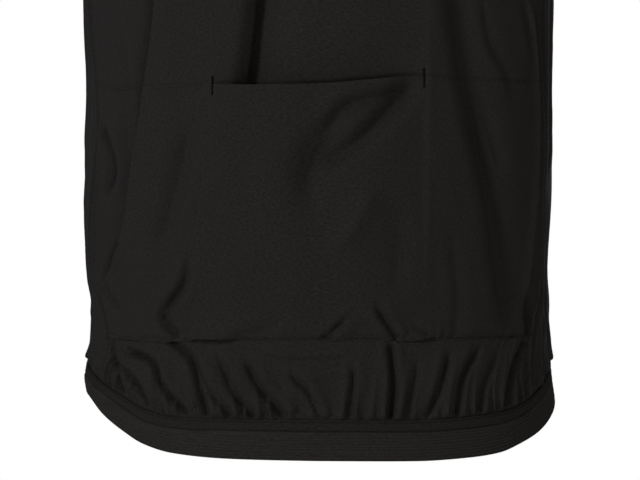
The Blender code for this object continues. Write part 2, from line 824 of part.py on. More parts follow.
def collar_top(angle):
    """Points of the collar's top edge at the same angles."""
    across = COLLAR_TOP_HALF * np.sin(angle)
    forward = (1 - np.cos(angle)) / 2
    y = COLLAR_TOP_BACK[0] + forward * (COLLAR_TOP_FRONT[0] - COLLAR_TOP_BACK[0])
    height = COLLAR_TOP_BACK[1] + forward * (COLLAR_TOP_FRONT[1] - COLLAR_TOP_BACK[1])
    return np.stack([-across, y, height], axis=-1)


def collar_angles(edge_half):
    """Angles round the collar: where the panels' columns meet the neck, and its two ends."""
    even = np.linspace(0, math.pi, 2 * NECK_COLUMNS + 1)[:-1]
    right = np.append(even, math.pi - math.asin(ZIP_HALF / edge_half))
    return np.concatenate([-right[:0:-1], right])


def make_collar(material):
    """Stand-up collar from one side of the zip round the neck to the other."""
    low = neckline(collar_angles(NECK_HALF))
    low[:, :2] *= 1 - SEAM_GAP / NECK_HALF
    low[:, 2] += SEAM_GAP
    high = collar_top(collar_angles(COLLAR_TOP_HALF))
    climb = high - low
    out = np.cross(np.gradient(low, axis=0), climb)
    out /= np.linalg.norm(out, axis=1, keepdims=True)
    outer = [low + rise * climb for rise in COLLAR_ROWS]
    inner = [line - out * COLLAR_CLOTH for line in outer]
    return sweep("collar", outer + inner[::-1], False, material)


def armhole_loop(sign):
    """Turns and heights round one armhole: up the back's edge, then down the front's."""
    rises = np.array((0.0,) + YOKE_ROWS)
    back_steps = rises * ARMHOLE_BACK["step"][-1]
    front_steps = FRONT_CORNER_STEP + rises * (ARMHOLE_FRONT["step"][-1] - FRONT_CORNER_STEP)
    turns = [smooth(back_steps, ARMHOLE_BACK["step"], ARMHOLE_BACK["turn"])]
    heights = [smooth(back_steps, ARMHOLE_BACK["step"], ARMHOLE_BACK["height"])]
    turns.append(smooth(front_steps, ARMHOLE_FRONT["step"], ARMHOLE_FRONT["turn"])[-2::-1])
    heights.append(smooth(front_steps, ARMHOLE_FRONT["step"], ARMHOLE_FRONT["height"])[-2::-1])
    under = front_columns(0)[1:UNDERARM_COLUMNS]
    under_turns = SIDE_SEAM_TURN + under[::-1] * (180 - SIDE_SEAM_TURN)
    turns.append(under_turns)
    heights.append(armhole_bottom(under_turns))
    return sign * np.concatenate(turns), np.concatenate(heights)


def make_binding(name, sign, material):
    """Elastic strip that edges one armhole, all the way round."""
    turn, height = armhole_loop(sign)
    edge = body(turn, height)
    normal = body_normals(turn, height)
    along = np.roll(edge, -1, axis=0) - np.roll(edge, 1, axis=0)
    inward = np.cross(along, normal) * sign
    inward /= np.linalg.norm(inward, axis=1, keepdims=True)
    corners = (
        (BINDING_GAP, BINDING_OUT),
        (BINDING_GAP + BINDING_WIDTH, BINDING_OUT),
        (BINDING_GAP + BINDING_WIDTH, -BINDING_IN),
        (BINDING_GAP, -BINDING_IN),
    )
    lines = [edge + inward * reach + normal * out for reach, out in corners]
    return sweep(name, lines, True, material)


# Zip ----------------------------------------------------------------------------------------


def zip_path():
    """Points up the middle of the front and of the collar, and the outward directions."""
    low = hem_height(180.0)
    neck = top_height(0.0, False)
    heights = np.linspace(low, neck, ZIP_ROWS)
    front = body(180.0 + 0 * heights, heights)
    front[:, 0] = 0
    top = collar_top(math.pi)
    rises = np.linspace(0, 1, COLLAR_ZIP_ROWS + 1)[1:, None]
    path = np.concatenate([front, front[-1] + rises * (top - front[-1])])
    path[:, 0] = 0
    along = np.gradient(path, axis=0)
    outward = np.cross(along, (-1, 0, 0))
    return path, outward / np.linalg.norm(outward, axis=1, keepdims=True)


def make_zip_tape(material):
    """The closed zip between the fronts: two tapes with the chain standing proud on them."""
    path, outward = zip_path()
    half = ZIP_HALF - SEAM_GAP
    profile = (
        (-half, 0),
        (-CHAIN_HALF, 0),
        (-CHAIN_TOP_HALF, CHAIN_PROUD),
        (CHAIN_TOP_HALF, CHAIN_PROUD),
        (CHAIN_HALF, 0),
        (half, 0),
        (half, -CLOTH),
        (-half, -CLOTH),
    )
    lines = [path + outward * proud + np.array([x, 0, 0]) for x, proud in profile]
    return sweep("zip_tape", lines, False, material)


def from_bmesh(name, shape, material):
    bmesh.ops.recalc_face_normals(shape, faces=shape.faces)
    bmesh.ops.triangulate(shape, faces=shape.faces)
    mesh = bpy.data.meshes.new(name)
    shape.to_mesh(mesh)
    shape.free()
    mesh.materials.append(material)
    made = bpy.data.objects.new(name, mesh)
    bpy.context.scene.collection.objects.link(made)
    return made


def add_box(shape, low, high):
    """A box between two corners, added to a bmesh."""
    made = bmesh.ops.create_cube(shape, size=1)["verts"]
    centre = [(a + b) / 2 for a, b in zip(low, high)]
    for vert in made:
        vert.co = [centre[k] + vert.co[k] * (high[k] - low[k]) for k in range(3)]
    return made


def box_object(name, low, high, material, bevel=0.0):
    shape = bmesh.new()
    add_box(shape, low, high)
    made = from_bmesh(name, shape, material)
    if bevel:
        rounded = made.modifiers.new("round", "BEVEL")
        rounded.width = bevel
        rounded.segments = 2
    return made


def combine(target, tool, operation):
    """Joins a hidden tool to the target, or cuts the target with it."""
    tool.hide_render = True
    tool.display_type = "WIRE"
    step = target.modifiers.new(operation.lower(), "BOOLEAN")
    step.operation = operation
    step.object = tool


def slider_place():
    """Where the slider's middle lies on the chain, and how far the zip leans back there."""
    top = collar_top(math.pi)
    foot = zip_path()[0][-1 - COLLAR_ZIP_ROWS]
    up = (top - foot) / np.linalg.norm(top - foot)
    lean = -math.atan2(up[1], up[2])
    return top - up * SLIDER_BELOW_TOP, lean


def make_slider_and_pull(metal):
    """The slider with its bail, and the pull tab that hangs in the bail and swings on it."""
    centre, lean = slider_place()
    half_wide, thick, tall = SLIDER_SIZE[0] / 2, SLIDER_SIZE[1], SLIDER_SIZE[2]
    face = -(CHAIN_PROUD + SEAM_GAP)
    front = face - thick
    slider = box_object(
        "zip_slider", (-half_wide, front, -tall / 2), (half_wide, face, tall / 2), metal, bevel=0.0005
    )
    bail = box_object(
        "bail_guide",
        (-BAIL_HALF, front - BAIL_ROOM - BAIL_THICK, -BAIL_SPAN / 2),
        (BAIL_HALF, front + thick / 2, BAIL_SPAN / 2),
        metal,
    )
    inside = box_object(
        "bail_cutter",
        (-2 * BAIL_HALF, front - BAIL_ROOM, BAIL_THICK - BAIL_SPAN / 2),
        (2 * BAIL_HALF, front, BAIL_SPAN / 2 - BAIL_THICK),
        metal,
    )
    combine(slider, bail, "UNION")
    combine(slider, inside, "DIFFERENCE")

    axis_height = BAIL_SPAN / 2 - BAIL_THICK - PULL_BAR / 2 - SEAM_GAP
    axis_out = front - BAIL_ROOM / 2
    bar = PULL_BAR / 2
    pull = box_object(
        "zip_pull", (-PULL_HALF, -bar, bar - PULL_LENGTH), (PULL_HALF, bar, bar), metal
    )
    eye = box_object(
        "eye_cutter",
        (-PULL_EYE_HALF, -2 * bar, -bar - PULL_EYE_LENGTH),
        (PULL_EYE_HALF, 2 * bar, -bar),
        metal,
    )
    combine(pull, eye, "DIFFERENCE")
    lean_matrix = np.array(
        [
            [1, 0, 0],
            [0, math.cos(lean), -math.sin(lean)],
            [0, math.sin(lean), math.cos(lean)],
        ]
    )
    hinge = centre + lean_matrix @ np.array([0, axis_out, axis_height])
    for made, place in ((slider, centre), (bail, centre), (inside, centre), (pull, hinge), (eye, hinge)):
        made.location = place
        made.rotation_euler = (lean, 0, 0)


def main():
    for old in list(bpy.data.objects):
        bpy.data.objects.remove(old, do_unlink=True)
    cloth, elastic, binding, chain, metal = (make_material(name) for name in MATERIALS)
    make_back(cloth)
    make_back_pocket(cloth)
    make_back_tail(cloth)
    make_front("front_left", -1, cloth)
    make_front("front_right", 1, cloth)
    make_hem_band(elastic)
    make_collar(cloth)
    make_binding("binding_left", -1, binding)
    make_binding("binding_right", 1, binding)
    make_zip_tape(chain)
    make_slider_and_pull(metal)


main()
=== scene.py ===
import math

import bmesh
import bpy
import numpy as np
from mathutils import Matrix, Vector


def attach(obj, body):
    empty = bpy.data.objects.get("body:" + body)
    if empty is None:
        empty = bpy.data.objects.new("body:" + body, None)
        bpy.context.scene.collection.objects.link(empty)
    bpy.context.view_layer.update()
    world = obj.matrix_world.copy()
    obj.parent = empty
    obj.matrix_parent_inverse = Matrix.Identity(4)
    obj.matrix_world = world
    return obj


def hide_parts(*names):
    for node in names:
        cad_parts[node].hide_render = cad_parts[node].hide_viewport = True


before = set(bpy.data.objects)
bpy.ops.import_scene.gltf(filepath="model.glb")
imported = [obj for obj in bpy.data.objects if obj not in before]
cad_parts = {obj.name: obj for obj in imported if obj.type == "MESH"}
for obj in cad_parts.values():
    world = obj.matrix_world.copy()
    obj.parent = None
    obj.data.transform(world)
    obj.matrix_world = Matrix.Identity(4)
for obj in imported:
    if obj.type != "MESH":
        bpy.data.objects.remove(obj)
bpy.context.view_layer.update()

# Looks of a sleeveless cycling vest of thin black windproof cloth, hollow as it is when worn.
# Metres, +Z up; the back with its pocket faces +Y. A turn is the angle round the body in
# degrees: 0 at the middle of the back, rising towards the wearer's right (-X), 180 at the zip.
# Across is the distance from the middle of the back towards the wearer's right, which is -x.


MM = 0.001


def table(columns, *rows):
    """A dictionary of arrays, one for each named column."""
    return dict(zip(columns.split(), np.array(rows, float).T))


def rows_of(columns):
    """A table's rows, each as a dictionary."""
    names = list(columns)
    return [dict(zip(names, values)) for values in zip(*columns.values())]


# Form, as the frame has it ------------------------------------------------------------------

CLOTH = 0.0005
SEAM_GAP = 0.0003
HALF_GAP = SEAM_GAP / 2
SHOULDER_LAP = 0.0001
SQUARENESS = 2.3
SECTIONS = table(
    "height left right back front",
    (-0.710, 0.1800, 0.1870, 0.116, 0.106),
    (-0.660, 0.1810, 0.1860, 0.117, 0.108),
    (-0.640, 0.1838, 0.1836, 0.118, 0.110),
    (-0.610, 0.1785, 0.1825, 0.118, 0.112),
    (-0.585, 0.1783, 0.1805, 0.118, 0.114),
    (-0.555, 0.1820, 0.1800, 0.118, 0.116),
    (-0.500, 0.1840, 0.1825, 0.118, 0.120),
    (-0.460, 0.1840, 0.1845, 0.118, 0.122),
    (-0.415, 0.1820, 0.1840, 0.117, 0.124),
    (-0.360, 0.1845, 0.1853, 0.114, 0.127),
    (-0.300, 0.1860, 0.1860, 0.111, 0.129),
    (-0.245, 0.1880, 0.1880, 0.110, 0.128),
    (-0.160, 0.2000, 0.2000, 0.111, 0.125),
    (-0.090, 0.2300, 0.2300, 0.112, 0.120),
    (0.010, 0.2300, 0.2300, 0.112, 0.118),
)
NECK_HALF = 0.075
NECK_EASE = 0.025
SHOULDER_HALF = 0.190
SHOULDER_DROP = 0.047
ROUNDING_BACK = 0.16
ROUNDING_FRONT = 0.20
NECK_DROP_BACK = 0.018
NECK_DROP_FRONT = 0.075
NECK_POWER_BACK = 2.5
NECK_POWER_FRONT = 2.7
NORMAL_TURN = 0.2
NORMAL_REACH = 0.001
NORMAL_BELOW_SHOULDER = 0.0015
YOKE_START = 1.7
YOKE_FINISH = 1.8
YOKE_BEND = 1.5
YOKE_EDGE_SPREAD = 3
YOKE_EDGE_FADE = 4
SIDE_SEAM_TURN = 72.0
SIDE_GAP_TURN = 0.05
SIDE_SEAMS = table(
    "height left right",
    (-0.680, 70.0, 66.0),
    (-0.650, 67.0, 62.0),
    (-0.625, 63.5, 61.5),
    (-0.607, 62.0, 63.0),
    (-0.595, 64.5, 65.0),
    (-0.575, 70.0, 69.5),
    (-0.555, 73.0, 72.0),
    (-0.530, 72.5, 73.0),
    (-0.504, 70.0, 72.2),
    (-0.474, 67.0, 71.5),
    (-0.443, 66.0, 71.0),
    (-0.410, 69.0, 70.0),
    (-0.364, 71.0, 67.0),
    (-0.300, 72.0, 70.0),
    (-0.245, 72.0, 72.0),
)
ARMHOLE_BACK = table(
    "step turn height",
    (0, 72.0, -0.2450),
    (1, 67.0, -0.2390),
    (2, 61.5, -0.2235),
    (3, 56.0, -0.1970),
    (4, 51.0, -0.1600),
    (5, 47.0, -0.1220),
    (6, 45.2, -0.0920),
    (7, 48.6, -0.0670),
    (8, 53.4, -0.0475),
)
ARMHOLE_FRONT = table(
    "step turn height",
    (0, 72.0, -0.2450),
    (1, 80.0, -0.2460),
    (2, 90.0, -0.2445),
    (3, 100.0, -0.2400),
    (4, 108.0, -0.2330),
    (5, 115.0, -0.2235),
    (6, 122.0, -0.2075),
    (7, 128.5, -0.1830),
    (8, 133.5, -0.1500),
    (9, 136.2, -0.1100),
    (10, 132.2, -0.0750),
    (11, 126.6, -0.0475),
)
FRONT_CORNER_STEP = 5
HEM = table(
    "turn left right left_band right_band",
    (0, -0.7000, -0.7000, 0.0310, 0.0310),
    (20, -0.6985, -0.7005, 0.0300, 0.0310),
    (35, -0.6950, -0.6985, 0.0275, 0.0310),
    (45, -0.6888, -0.6955, 0.0266, 0.0305),
    (54, -0.6792, -0.6890, 0.0265, 0.0290),
    (64, -0.6688, -0.6810, 0.0256, 0.0300),
    (78, -0.6550, -0.6675, 0.0232, 0.0305),
    (92, -0.6492, -0.6555, 0.0230, 0.0310),
    (120, -0.6370, -0.6400, 0.0282, 0.0310),
    (150, -0.6320, -0.6330, 0.0310, 0.0310),
    (180, -0.6300, -0.6300, 0.0310, 0.0310),
)
POCKET_TOP = table(
    "across height",
    (-0.185, -0.4157),
    (-0.134, -0.4162),
    (-0.080, -0.4145),
    (-0.050, -0.4155),
    (0.000, -0.4148),
    (0.040, -0.4117),
    (0.078, -0.4087),
    (0.116, -0.4100),
    (0.185, -0.4112),
)
POCKET_SEAM = -0.6093
POCKET_SEAM_LINE = table(
    "across height",
    (-0.158, -0.6066),
    (-0.143, -0.6094),
    (-0.112, -0.6090),
    (-0.075, -0.6108),
    (-0.054, -0.6082),
    (-0.010, -0.6072),
    (0.050, -0.6070),
    (0.075, -0.6097),
    (0.106, -0.6070),
    (0.158, -0.6064),
)
SEAM_WAVE = 0.0003
SEAM_SWAY = 2.0
SEAM_SWAY_RATE = 60.0
MOUTH_HALF = 0.080
MOUTH_POWER = 4
MOUTH_BULGE = 0.0034
MOUTH_RECESS = 0.0052
MOUTH_RAMP_UP = 0.040
LIP_SHADOW = 0.0024
LIP_SHADOW_RAMP = (-0.0036, 0.001)
LIP_SHADOW_FADE = (0.02, 0.06)
MOUTH_FLAT_DOWN = 0.110
MOUTH_RAMP_DOWN = 0.070
POCKET_PROUD = 0.00060
BEHIND_POCKET = 0.00025
HIDDEN_DROP = 0.0048
HIDDEN_DROP_RAMP = (0.001, 0.016)
HIDDEN_DROP_SIDE = (57.0, 66.0)
UNDER_POCKET_RAMP = 0.003
BACK_GATHERS = 40
FRONT_GATHERS = 22
GATHER_FAN = 5.0
GATHER_DRIFT = table(
    "waves rate phase",
    (0.30, 17.0, 0.6),
    (0.22, 41.0, 2.1),
)
COLLAR_TOP_HALF = 0.067
COLLAR_TOP_BACK = (0.049, 0.030)
COLLAR_TOP_FRONT = (-0.079, -0.029)
COLLAR_CLOTH = 0.0020
COLLAR_TUCK = 0.0022
COLLAR_TUCK_IN = 0.0005
BINDING_GAP = 0.0004
BINDING_WIDTH = 0.008
BINDING_OUT = 0.0006
BINDING_IN = 0.0018
BAND_PROUD = 0.0004
COLLAR_WAVE = 0.0004
COLLAR_WAVE_RATE = 0.21
BINDING_EDGE = 0.0006
BINDING_CROWN = (0.0003, 0.0002)
BINDING_BEFORE_FOLD = 0.0010
ELASTIC = 0.0014
ZIP_HALF = 0.0050

# Columns of a yoke row, as the panels are laid out from the middle to the armhole.
NECK_COLUMNS = 6
SHOULDER_COLUMNS = 10
FRONT_SHOULDER_COLUMNS = 8
UNDERARM_COLUMNS = 9

# Creases ------------------------------------------------------------------------------------
# Each runs through four places, across (a) by height (h). Depth is how far the cloth dips (or
# stands out, if negative), left and right are how far the dip reaches to each side, and the
# lifts are the ridges there, all in millimetres. Head and foot are the shares of its length
# over which it fades in and out.

CREASE_COLUMNS = "a1 h1 a2 h2 a3 h3 a4 h4 depth left right lift_left lift_right head foot"
CREASE_UNITS = (MM,) * 13 + (1, 1)


def crease_table(*rows):
    """Creases in metres, from rows in millimetres."""
    return table(CREASE_COLUMNS, *(np.array(rows) * CREASE_UNITS))


# Creases that run on from the upper back down the pocket.
LONG_CREASES = crease_table(
    (96, -270, 110.8, -400.9, 132.7, -502.3, 148, -606, 4.8, 8.5, 11, 1.4, 0, 0.25, 0.1),
    (112, -410, 123, -456, 139, -515, 144, -560, 1, 2.4, 4, 0, 0.4, 0.3, 0.3),
    (122.5, -320, 131.9, -379, 144.8, -405.5, 149.3, -435.7, 1.6, 4, 5, 0.6, 0, 0.3, 0.3),
    (84.3, -300, 83.5, -420, 82.5, -500, 81.5, -595, -1, 2.6, 7, 0, 0, 0.25, 0.25),
    (-156.5, -360, -153, -400, -150, -440, -149, -480, 2.4, 5, 5, 0, 0.4, 0.3, 0.3),
    (160.5, -340, 167.5, -410, 166.5, -493, 157.6, -594.5, -2.6, 2, 1.2, 0, 0, 0.1, 0.1),
    (164, -340, 171, -410, 170, -493, 161.2, -594.5, 1.8, 1.4, 3, 0, 0, 0.1, 0.1),
)

# Pleats, where one side of the cloth laps over the other. The line holds across by height. The
# lap goes left if negative. The under side is deep at the line, with a notch beside it, and
# rises within its reach; the upper side stands proud, or rolls down to the line.
LONG_PLEAT = table(
    "height across",
    (-0.5620, -0.1625),
    (-0.5506, -0.1569),
    (-0.5340, -0.1508),
    (-0.5098, -0.1455),
    (-0.4780, -0.1410),
    (-0.4493, -0.1357),
    (-0.4153, -0.1312),
    (-0.3888, -0.1274),
    (-0.3645, -0.1244),
    (-0.3200, -0.1205),
    (-0.2600, -0.1170),
)
UPPER_PLEAT = table(
    "height across",
    (-0.4250, -0.0588),
    (-0.4145, -0.0570),
    (-0.3888, -0.0530),
    (-0.3639, -0.0500),
    (-0.3200, -0.0457),
    (-0.2600, -0.0427),
)
PLEAT_SIZES = table(
    "lap lap_reach under under_reach under_power notch notch_reach "
    "over over_reach roll roll_reach foot_start foot_end",
    (-0.0014, 0.005, 0.0095, 0.0140, 1.2, 0.0040, 0.0024, 0.0012, 0.012, 0.0, 0.005, -0.545, -0.562),
    (0.0012, 0.004, 0.0180, 0.0225, 1.6, 0.0, 0.0020, 0.0020, 0.012, 0.0100, 0.0056, -0.430, -0.440),
)
LONG_PLEAT_SIZE, UPPER_PLEAT_SIZE = rows_of(PLEAT_SIZES)
PLEAT_HEAD = (-0.350, -0.262)
PLEAT_EDGE = 0.00012
PLEAT_COLUMNS_FOLLOW = (-0.300, -0.246)
UPPER_PLEAT_END = (0, 0.012)

# Creases of the upper back alone.
UPPER_CREASES = crease_table(
    (20, -150, 28, -210, 30, -270, 26, -330, 1.4, 8, 10, 0, 0.6, 0.4, 0.4),
    (-90, -170, -85, -230, -88, -290, -96, -360, 1.8, 7, 9, 0.5, 0, 0.4, 0.4),
    (60, -110, 68, -170, 78, -230, 90, -280, 2, 6, 8, 0.8, 0, 0.4, 0.3),
    (-145, -255, -125, -250, -100, -235, -80, -215, 1.6, 5, 7, 0.6, 0, 0.15, 0.45),
    (145, -250, 120, -245, 95, -230, 70, -200, 1.8, 5, 7, 0.6, 0, 0.15, 0.45),
    (-30, -45, -35, -90, -42, -135, -48, -180, 1, 7, 7, 0, 0, 0.4, 0.4),
    (156, -340, 161, -370, 164, -390, 165, -410, 1.4, 2, 2, 0.5, 0.5, 0.3, 0.3),
)

# Creases of the pocket.
POCKET_CREASES = crease_table(
    (76.5, -411, 51, -438.5, 30, -459, -7, -482, 5.2, 8, 6.4, 0.8, 0.4, 0.14, 0.18),
    (72, -416, 49, -424, 20, -433, 2, -458, 4.4, 5.6, 11, 0.8, 0, 0.25, 0.22),
    (24, -444, 0, -468, -6, -495, 0, -528, 6.6, 15, 13, 0.6, 0.8, 0.25, 0.5),
    (44, -488, 35, -508, 23, -528, 6, -548, -2.8, 8, 10, 0, 0, 0.35, 0.35),
    (-150, -530, -165, -558.2, -160, -575, -148, -592, 3, 3, 1.8, 1, 1.4, 0.1, 0.35),
    (121.3, -420.6, 130.4, -443.3, 138, -466, 141.7, -488.6, 1.3, 3, 4, 0.4, 0, 0.3, 0.3),
    (-94.5, -498, -92, -505, -91.1, -512.8, -93, -520, 0.8, 1.2, 1.6, 0, 0.3, 0.35, 0.35),
    (-96.4, -534, -102.4, -565.8, -117.6, -590.7, -105.5, -607.3, 3.4, 2.8, 4.6, 1.4, 1.6, 0.4, 0.05),
    (-95, -435, -104.5, -478, -114, -515, -125, -548, 3.6, 7.6, 8.5, 0, 1, 0.25, 0.25),
    (-168, -443, -159.3, -473.5, -162, -492.4, -170, -499, 3.4, 3, 2, 1.2, 0.8, 0.1, 0.4),
    (30, -584, 17, -596, 9.5, -603, 3, -608.5, 2.2, 1.8, 2.8, 0.6, 1.2, 0.4, 0.02),
    (41.5, -576, 47.3, -588.4, 53.3, -597.5, 60, -608, 3, 2.6, 3.2, 1, 1.2, 0.4, 0.02),
    (-20, -589, -39.7, -600.5, -54.8, -605, -72, -608, 1.8, 5, 3.6, 0.8, 0, 0.4, 0.2),
    (70, -596, 76, -601, 83, -604, 90, -608.5, 1.4, 2, 2.6, 0.4, 0.8, 0.35, 0.02),
    (161.4, -570, 162, -585, 162.2, -597, 161.4, -609, 4, 3, 1.8, 1.2, 0, 0.3, 0),
    (-169.3, -565, -168, -580, -165, -595, -161.6, -609, 3.2, 1.8, 3, 0.6, 1, 0.3, 0),
    (-54, -430, -60, -480, -62, -530, -56, -580, 1, 12, 14, 0, 0, 0.4, 0.4),
    (56, -490, 62, -530, 60, -560, 54, -580, 1.2, 8, 10, 0, 0.6, 0.4, 0.4),
    (100, -510, 103, -545, 106, -575, 104, -608, 1.2, 5, 7, 0.4, 0, 0.4, 0.05),
)

# Creases of the gathered strip above the elastic.
TAIL_CREASES = crease_table(
    (-161, -607, -158.5, -620, -154.5, -635, -150, -652, 3, 2, 3, 0.6, 1.2, 0.05, 0.1),
    (-159, -623.2, -143.3, -638.3, -135.7, -648.9, -129.7, -659, 3, 2, 3, 0.6, 1.2, 0.25, 0.02),
    (-151.6, -616.5, -127.4, -626.2, -119.1, -645.1, -99.4, -666, 3.4, 2, 3.6, 0.8, 1.8, 0.15, 0.02),
    (-115.3, -608, -97.1, -623.2, -90.3, -645.1, -84.3, -668, 3.6, 2.4, 4.6, 1, 1.8, 0.02, 0.02),
    (-94.9, -626.5, -85.1, -643.6, -75.2, -656.5, -65.5, -669, 2.4, 1.8, 4, 0.6, 1.4, 0.35, 0.02),
    (-78.3, -615, -70.7, -633.8, -63.1, -650.4, -48, -669, 2.6, 2, 4.2, 0.6, 1.6, 0.35, 0.02),
    (-56.3, -621.5, -49.5, -636.8, -42, -648.9, -24, -669, 3.2, 2, 4.6, 0.8, 1.8, 0.25, 0.02),
    (-24.6, -630.8, -16.3, -639.8, -7.2, -648.9, 1, -669, 2.4, 1.8, 3.6, 0.6, 1.4, 0.3, 0.02),
    (26.1, -624.7, 26.8, -638.3, 25.3, -648.9, 22.5, -669, 2, 2.2, 2.6, 0.8, 0.8, 0.3, 0.02),
    (54.5, -609.8, 56.3, -628.5, 57.1, -647.4, 54.8, -669, 3.8, 2.6, 2.8, 1.2, 1.4, 0.1, 0.02),
    (76, -618.7, 74.5, -636, 69.9, -651.2, 65, -669, 1.8, 3, 2.6, 0.8, 0.6, 0.35, 0.02),
    (101, -613, 96.4, -633.8, 91.1, -650.4, 82, -669, 2.8, 3.6, 2, 1.4, 0.6, 0.25, 0.02),
    (125, -612, 113.8, -630.8, 108.5, -644.4, 105, -668, 3, 3.6, 2, 1.4, 0.6, 0.2, 0.02),
    (139, -613.4, 133, -629, 127, -645, 123, -665, 2, 3, 2, 1, 0.6, 0.3, 0.02),
    (160, -610, 153, -625, 148, -640, 145, -660, 3.6, 3, 1.8, 1.2, 0.6, 0.05, 0.02),
    (-48, -620.5, -25, -622.5, 5, -622.8, 26, -622, 0.7, 1.2, 1.2, 0, 0.3, 0.15, 0.15),
    (-5, -637, 5, -638.2, 15, -638.5, 24, -638, 0.5, 1.2, 1.2, 0, 0.3, 0.25, 0.15),
)

# Creases of a front, with the distance round from the zip instead of across.
FRONT_CREASES = crease_table(
    (160, -225, 175, -290, 195, -380, 215, -460, 3.4, 5, 7, 1.4, 1, 0.15, 0.4),
    (210, -245, 215, -310, 220, -390, 218, -470, 2.2, 5, 6, 0.8, 0.6, 0.2, 0.4),
    (90, -150, 100, -230, 108, -320, 106, -420, 2.6, 7, 9, 1, 0.8, 0.35, 0.4),
    (45, -300, 60, -400, 90, -500, 100, -590, 2.6, 6, 8, 0.8, 1, 0.4, 0.3),
    (130, -430, 145, -490, 150, -550, 148, -600, 3, 4, 6, 1.2, 1.2, 0.35, 0.15),
    (220, -450, 225, -500, 220, -560, 230, -610, 3, 4, 5, 1, 1.4, 0.35, 0.15),
    (265, -260, 270, -340, 265, -430, 272, -520, 2, 3, 4, 1, 0.8, 0.2, 0.4),
    (250, -480, 262, -530, 270, -580, 266, -630, 3, 2.6, 3.4, 1, 1.2, 0.3, 0.05),
    (28, -100, 35, -170, 38, -250, 33, -320, 1.8, 6, 8, 0.6, 0, 0.35, 0.45),
    (70, -85, 100, -125, 125, -170, 145, -225, 2.2, 6, 6, 0.8, 0.6, 0.35, 0.15),
    (20, -460, 35, -510, 42, -560, 40, -600, 2.2, 4, 6, 0.6, 1, 0.35, 0.1),
    (185, -500, 180, -540, 185, -580, 190, -615, 2.4, 3, 5, 0.8, 1.2, 0.35, 0.05),
)
GIRTH_PER_TURN = 0.00262
LEFT_FRONT_SHIFT = 0.006
CREASE_POWER = 1.5
CREASE_DEPTH = 1.6
CREASE_LIFT = 1.7
LIFT_OFFSET = 0.0022
LIFT_OFFSET_REACHES = 1.1
LIFT_SPREAD = 0.0030
LIFT_SPREAD_REACHES = 0.6
CREASE_SAMPLES = 24
CREASE_REACHES = 4
CREASES_END = (0.3, 3.2)
ZIP_FLAT = (172.0, 177.0)

# Heights over which the relief of the back and of the fronts fades, up to the shoulder seam.
BACK_FLAT_TOP = (-0.09, -0.02)
FRONT_FLAT_TOP = (-0.10, -0.03)

# Slow folds under the creases. The first two follow the long pleat and the long trough.
SWELLS = table(
    "top top_across middle middle_across bottom bottom_across depth width",
    (-0.250, -0.108, -0.430, -0.118, -0.600, -0.132, -0.0014, 0.0140),
    (-0.250, 0.100, -0.410, 0.119, -0.605, 0.156, 0.0020, 0.0130),
    (-0.250, 0.070, -0.410, 0.088, -0.605, 0.120, -0.0014, 0.0140),
    (-0.330, -0.062, -0.450, -0.070, -0.600, -0.078, -0.0010, 0.0200),
    (-0.414, 0.076, -0.452, 0.036, -0.545, -0.005, 0.0016, 0.0150),
)
SWELL_HEAD = (0.0, 0.3)
SWELL_FOOT = (0.85, 1.1)

# Unevenness of the cloth, as waves of this height and length at this angle from upright.
CRUMPLE = table(
    "height length angle phase",
    (0.00030, 0.062, 4.0, 0.3),
    (0.00016, 0.041, -14.0, 1.9),
    (0.00012, 0.047, 31.0, 4.0),
    (0.00005, 0.023, -38.0, 2.7),
    (0.00003, 0.015, 12.0, 5.2),
    (0.00004, 0.028, 72.0, 0.9),
    (0.00002, 0.011, -62.0, 3.3),
)
CRUMPLE_DRIFT_UP = 9.0
CRUMPLE_DRIFT_ACROSS = 13.0
FRONT_CRUMPLE_SHIFT = 0.1

# Gathers at the elastic.
GATHER_DEPTH = 0.0025
GATHER_LEFT_AT_SEAM = 0.00015
GATHER_FADE = 0.013
GATHER_START = (0.0, 0.03)
GATHER_END = (0.97, 1.0)
GATHER_SHARPEN = 0.30
GATHER_SHARPEN_PHASE = 0.4
GATHER_SWAY = 0.9
GATHER_SWAY_UP = 55.0
GATHER_UNEVEN = 0.3
GATHER_UNEVEN_RATES = (23.0, 9.0)
GATHER_UNEVEN_PHASE = 1.3
CORNER_GATHER_FADE = 0.040
CORNER_TURNS = (50.0, 62.0)
FINE_GATHERS = 2.6
FINE_GATHER_DEPTH = 0.0010
FINE_GATHER_FADE = 0.010
FINE_GATHER_LEAN = 60.0
FINE_GATHER_DRIFT = 2.2
FINE_GATHER_DRIFT_RATE = 17.0
FINE_PATCH_RATES = (61.0, 37.0)
FINE_PATCH_PHASE = 0.7
CREASES_LEFT_AT_SEAM = 0.3

# Where the gathered cloth is tucked in behind the elastic's top edge, and behind the pocket.
TUCK = 0.0022
TUCK_DEPTH = 0.0015
TUCK_RAMP = (-0.0004, 0.0032)
TUCK_ENDS = (0.965, 0.990)
TUCK_UP = 0.0050
TUCK_UP_DEPTH = 0.0024
TUCK_UP_RAMP = (-0.0004, 0.0014)

# A front lies this far under the edge of the back at the side seam, in turns and in depth.
SIDE_TUCK_TURN = 0.45
SIDE_TUCK = 0.0012
SIDE_TUCK_RAMP = (-0.05, 0.35)
UNDER_ARM_RAMP = (0.001, 0.004)

# Rounds in which a panel's bottom edge settles between the hem's line and the side seams.
SEAM_ROUNDS = 8

# Side seams: the panels roll over into the seam, with small puckers along it.
SEAM_DIP = 0.0010
SEAM_ROLL = 0.0026
SEAM_REACH_TURN = 0.45
ROLL_TURN = 1.5
ROLL_SPREAD_TURN = 0.85
PUCKER = 0.00035
PUCKER_LENGTH = 0.0110
PUCKER_SWAY = 2.5
PUCKER_SWAY_RATE = 40.0
ROLL_UNEVEN = 0.25
ROLL_UNEVEN_RATE = 31.0

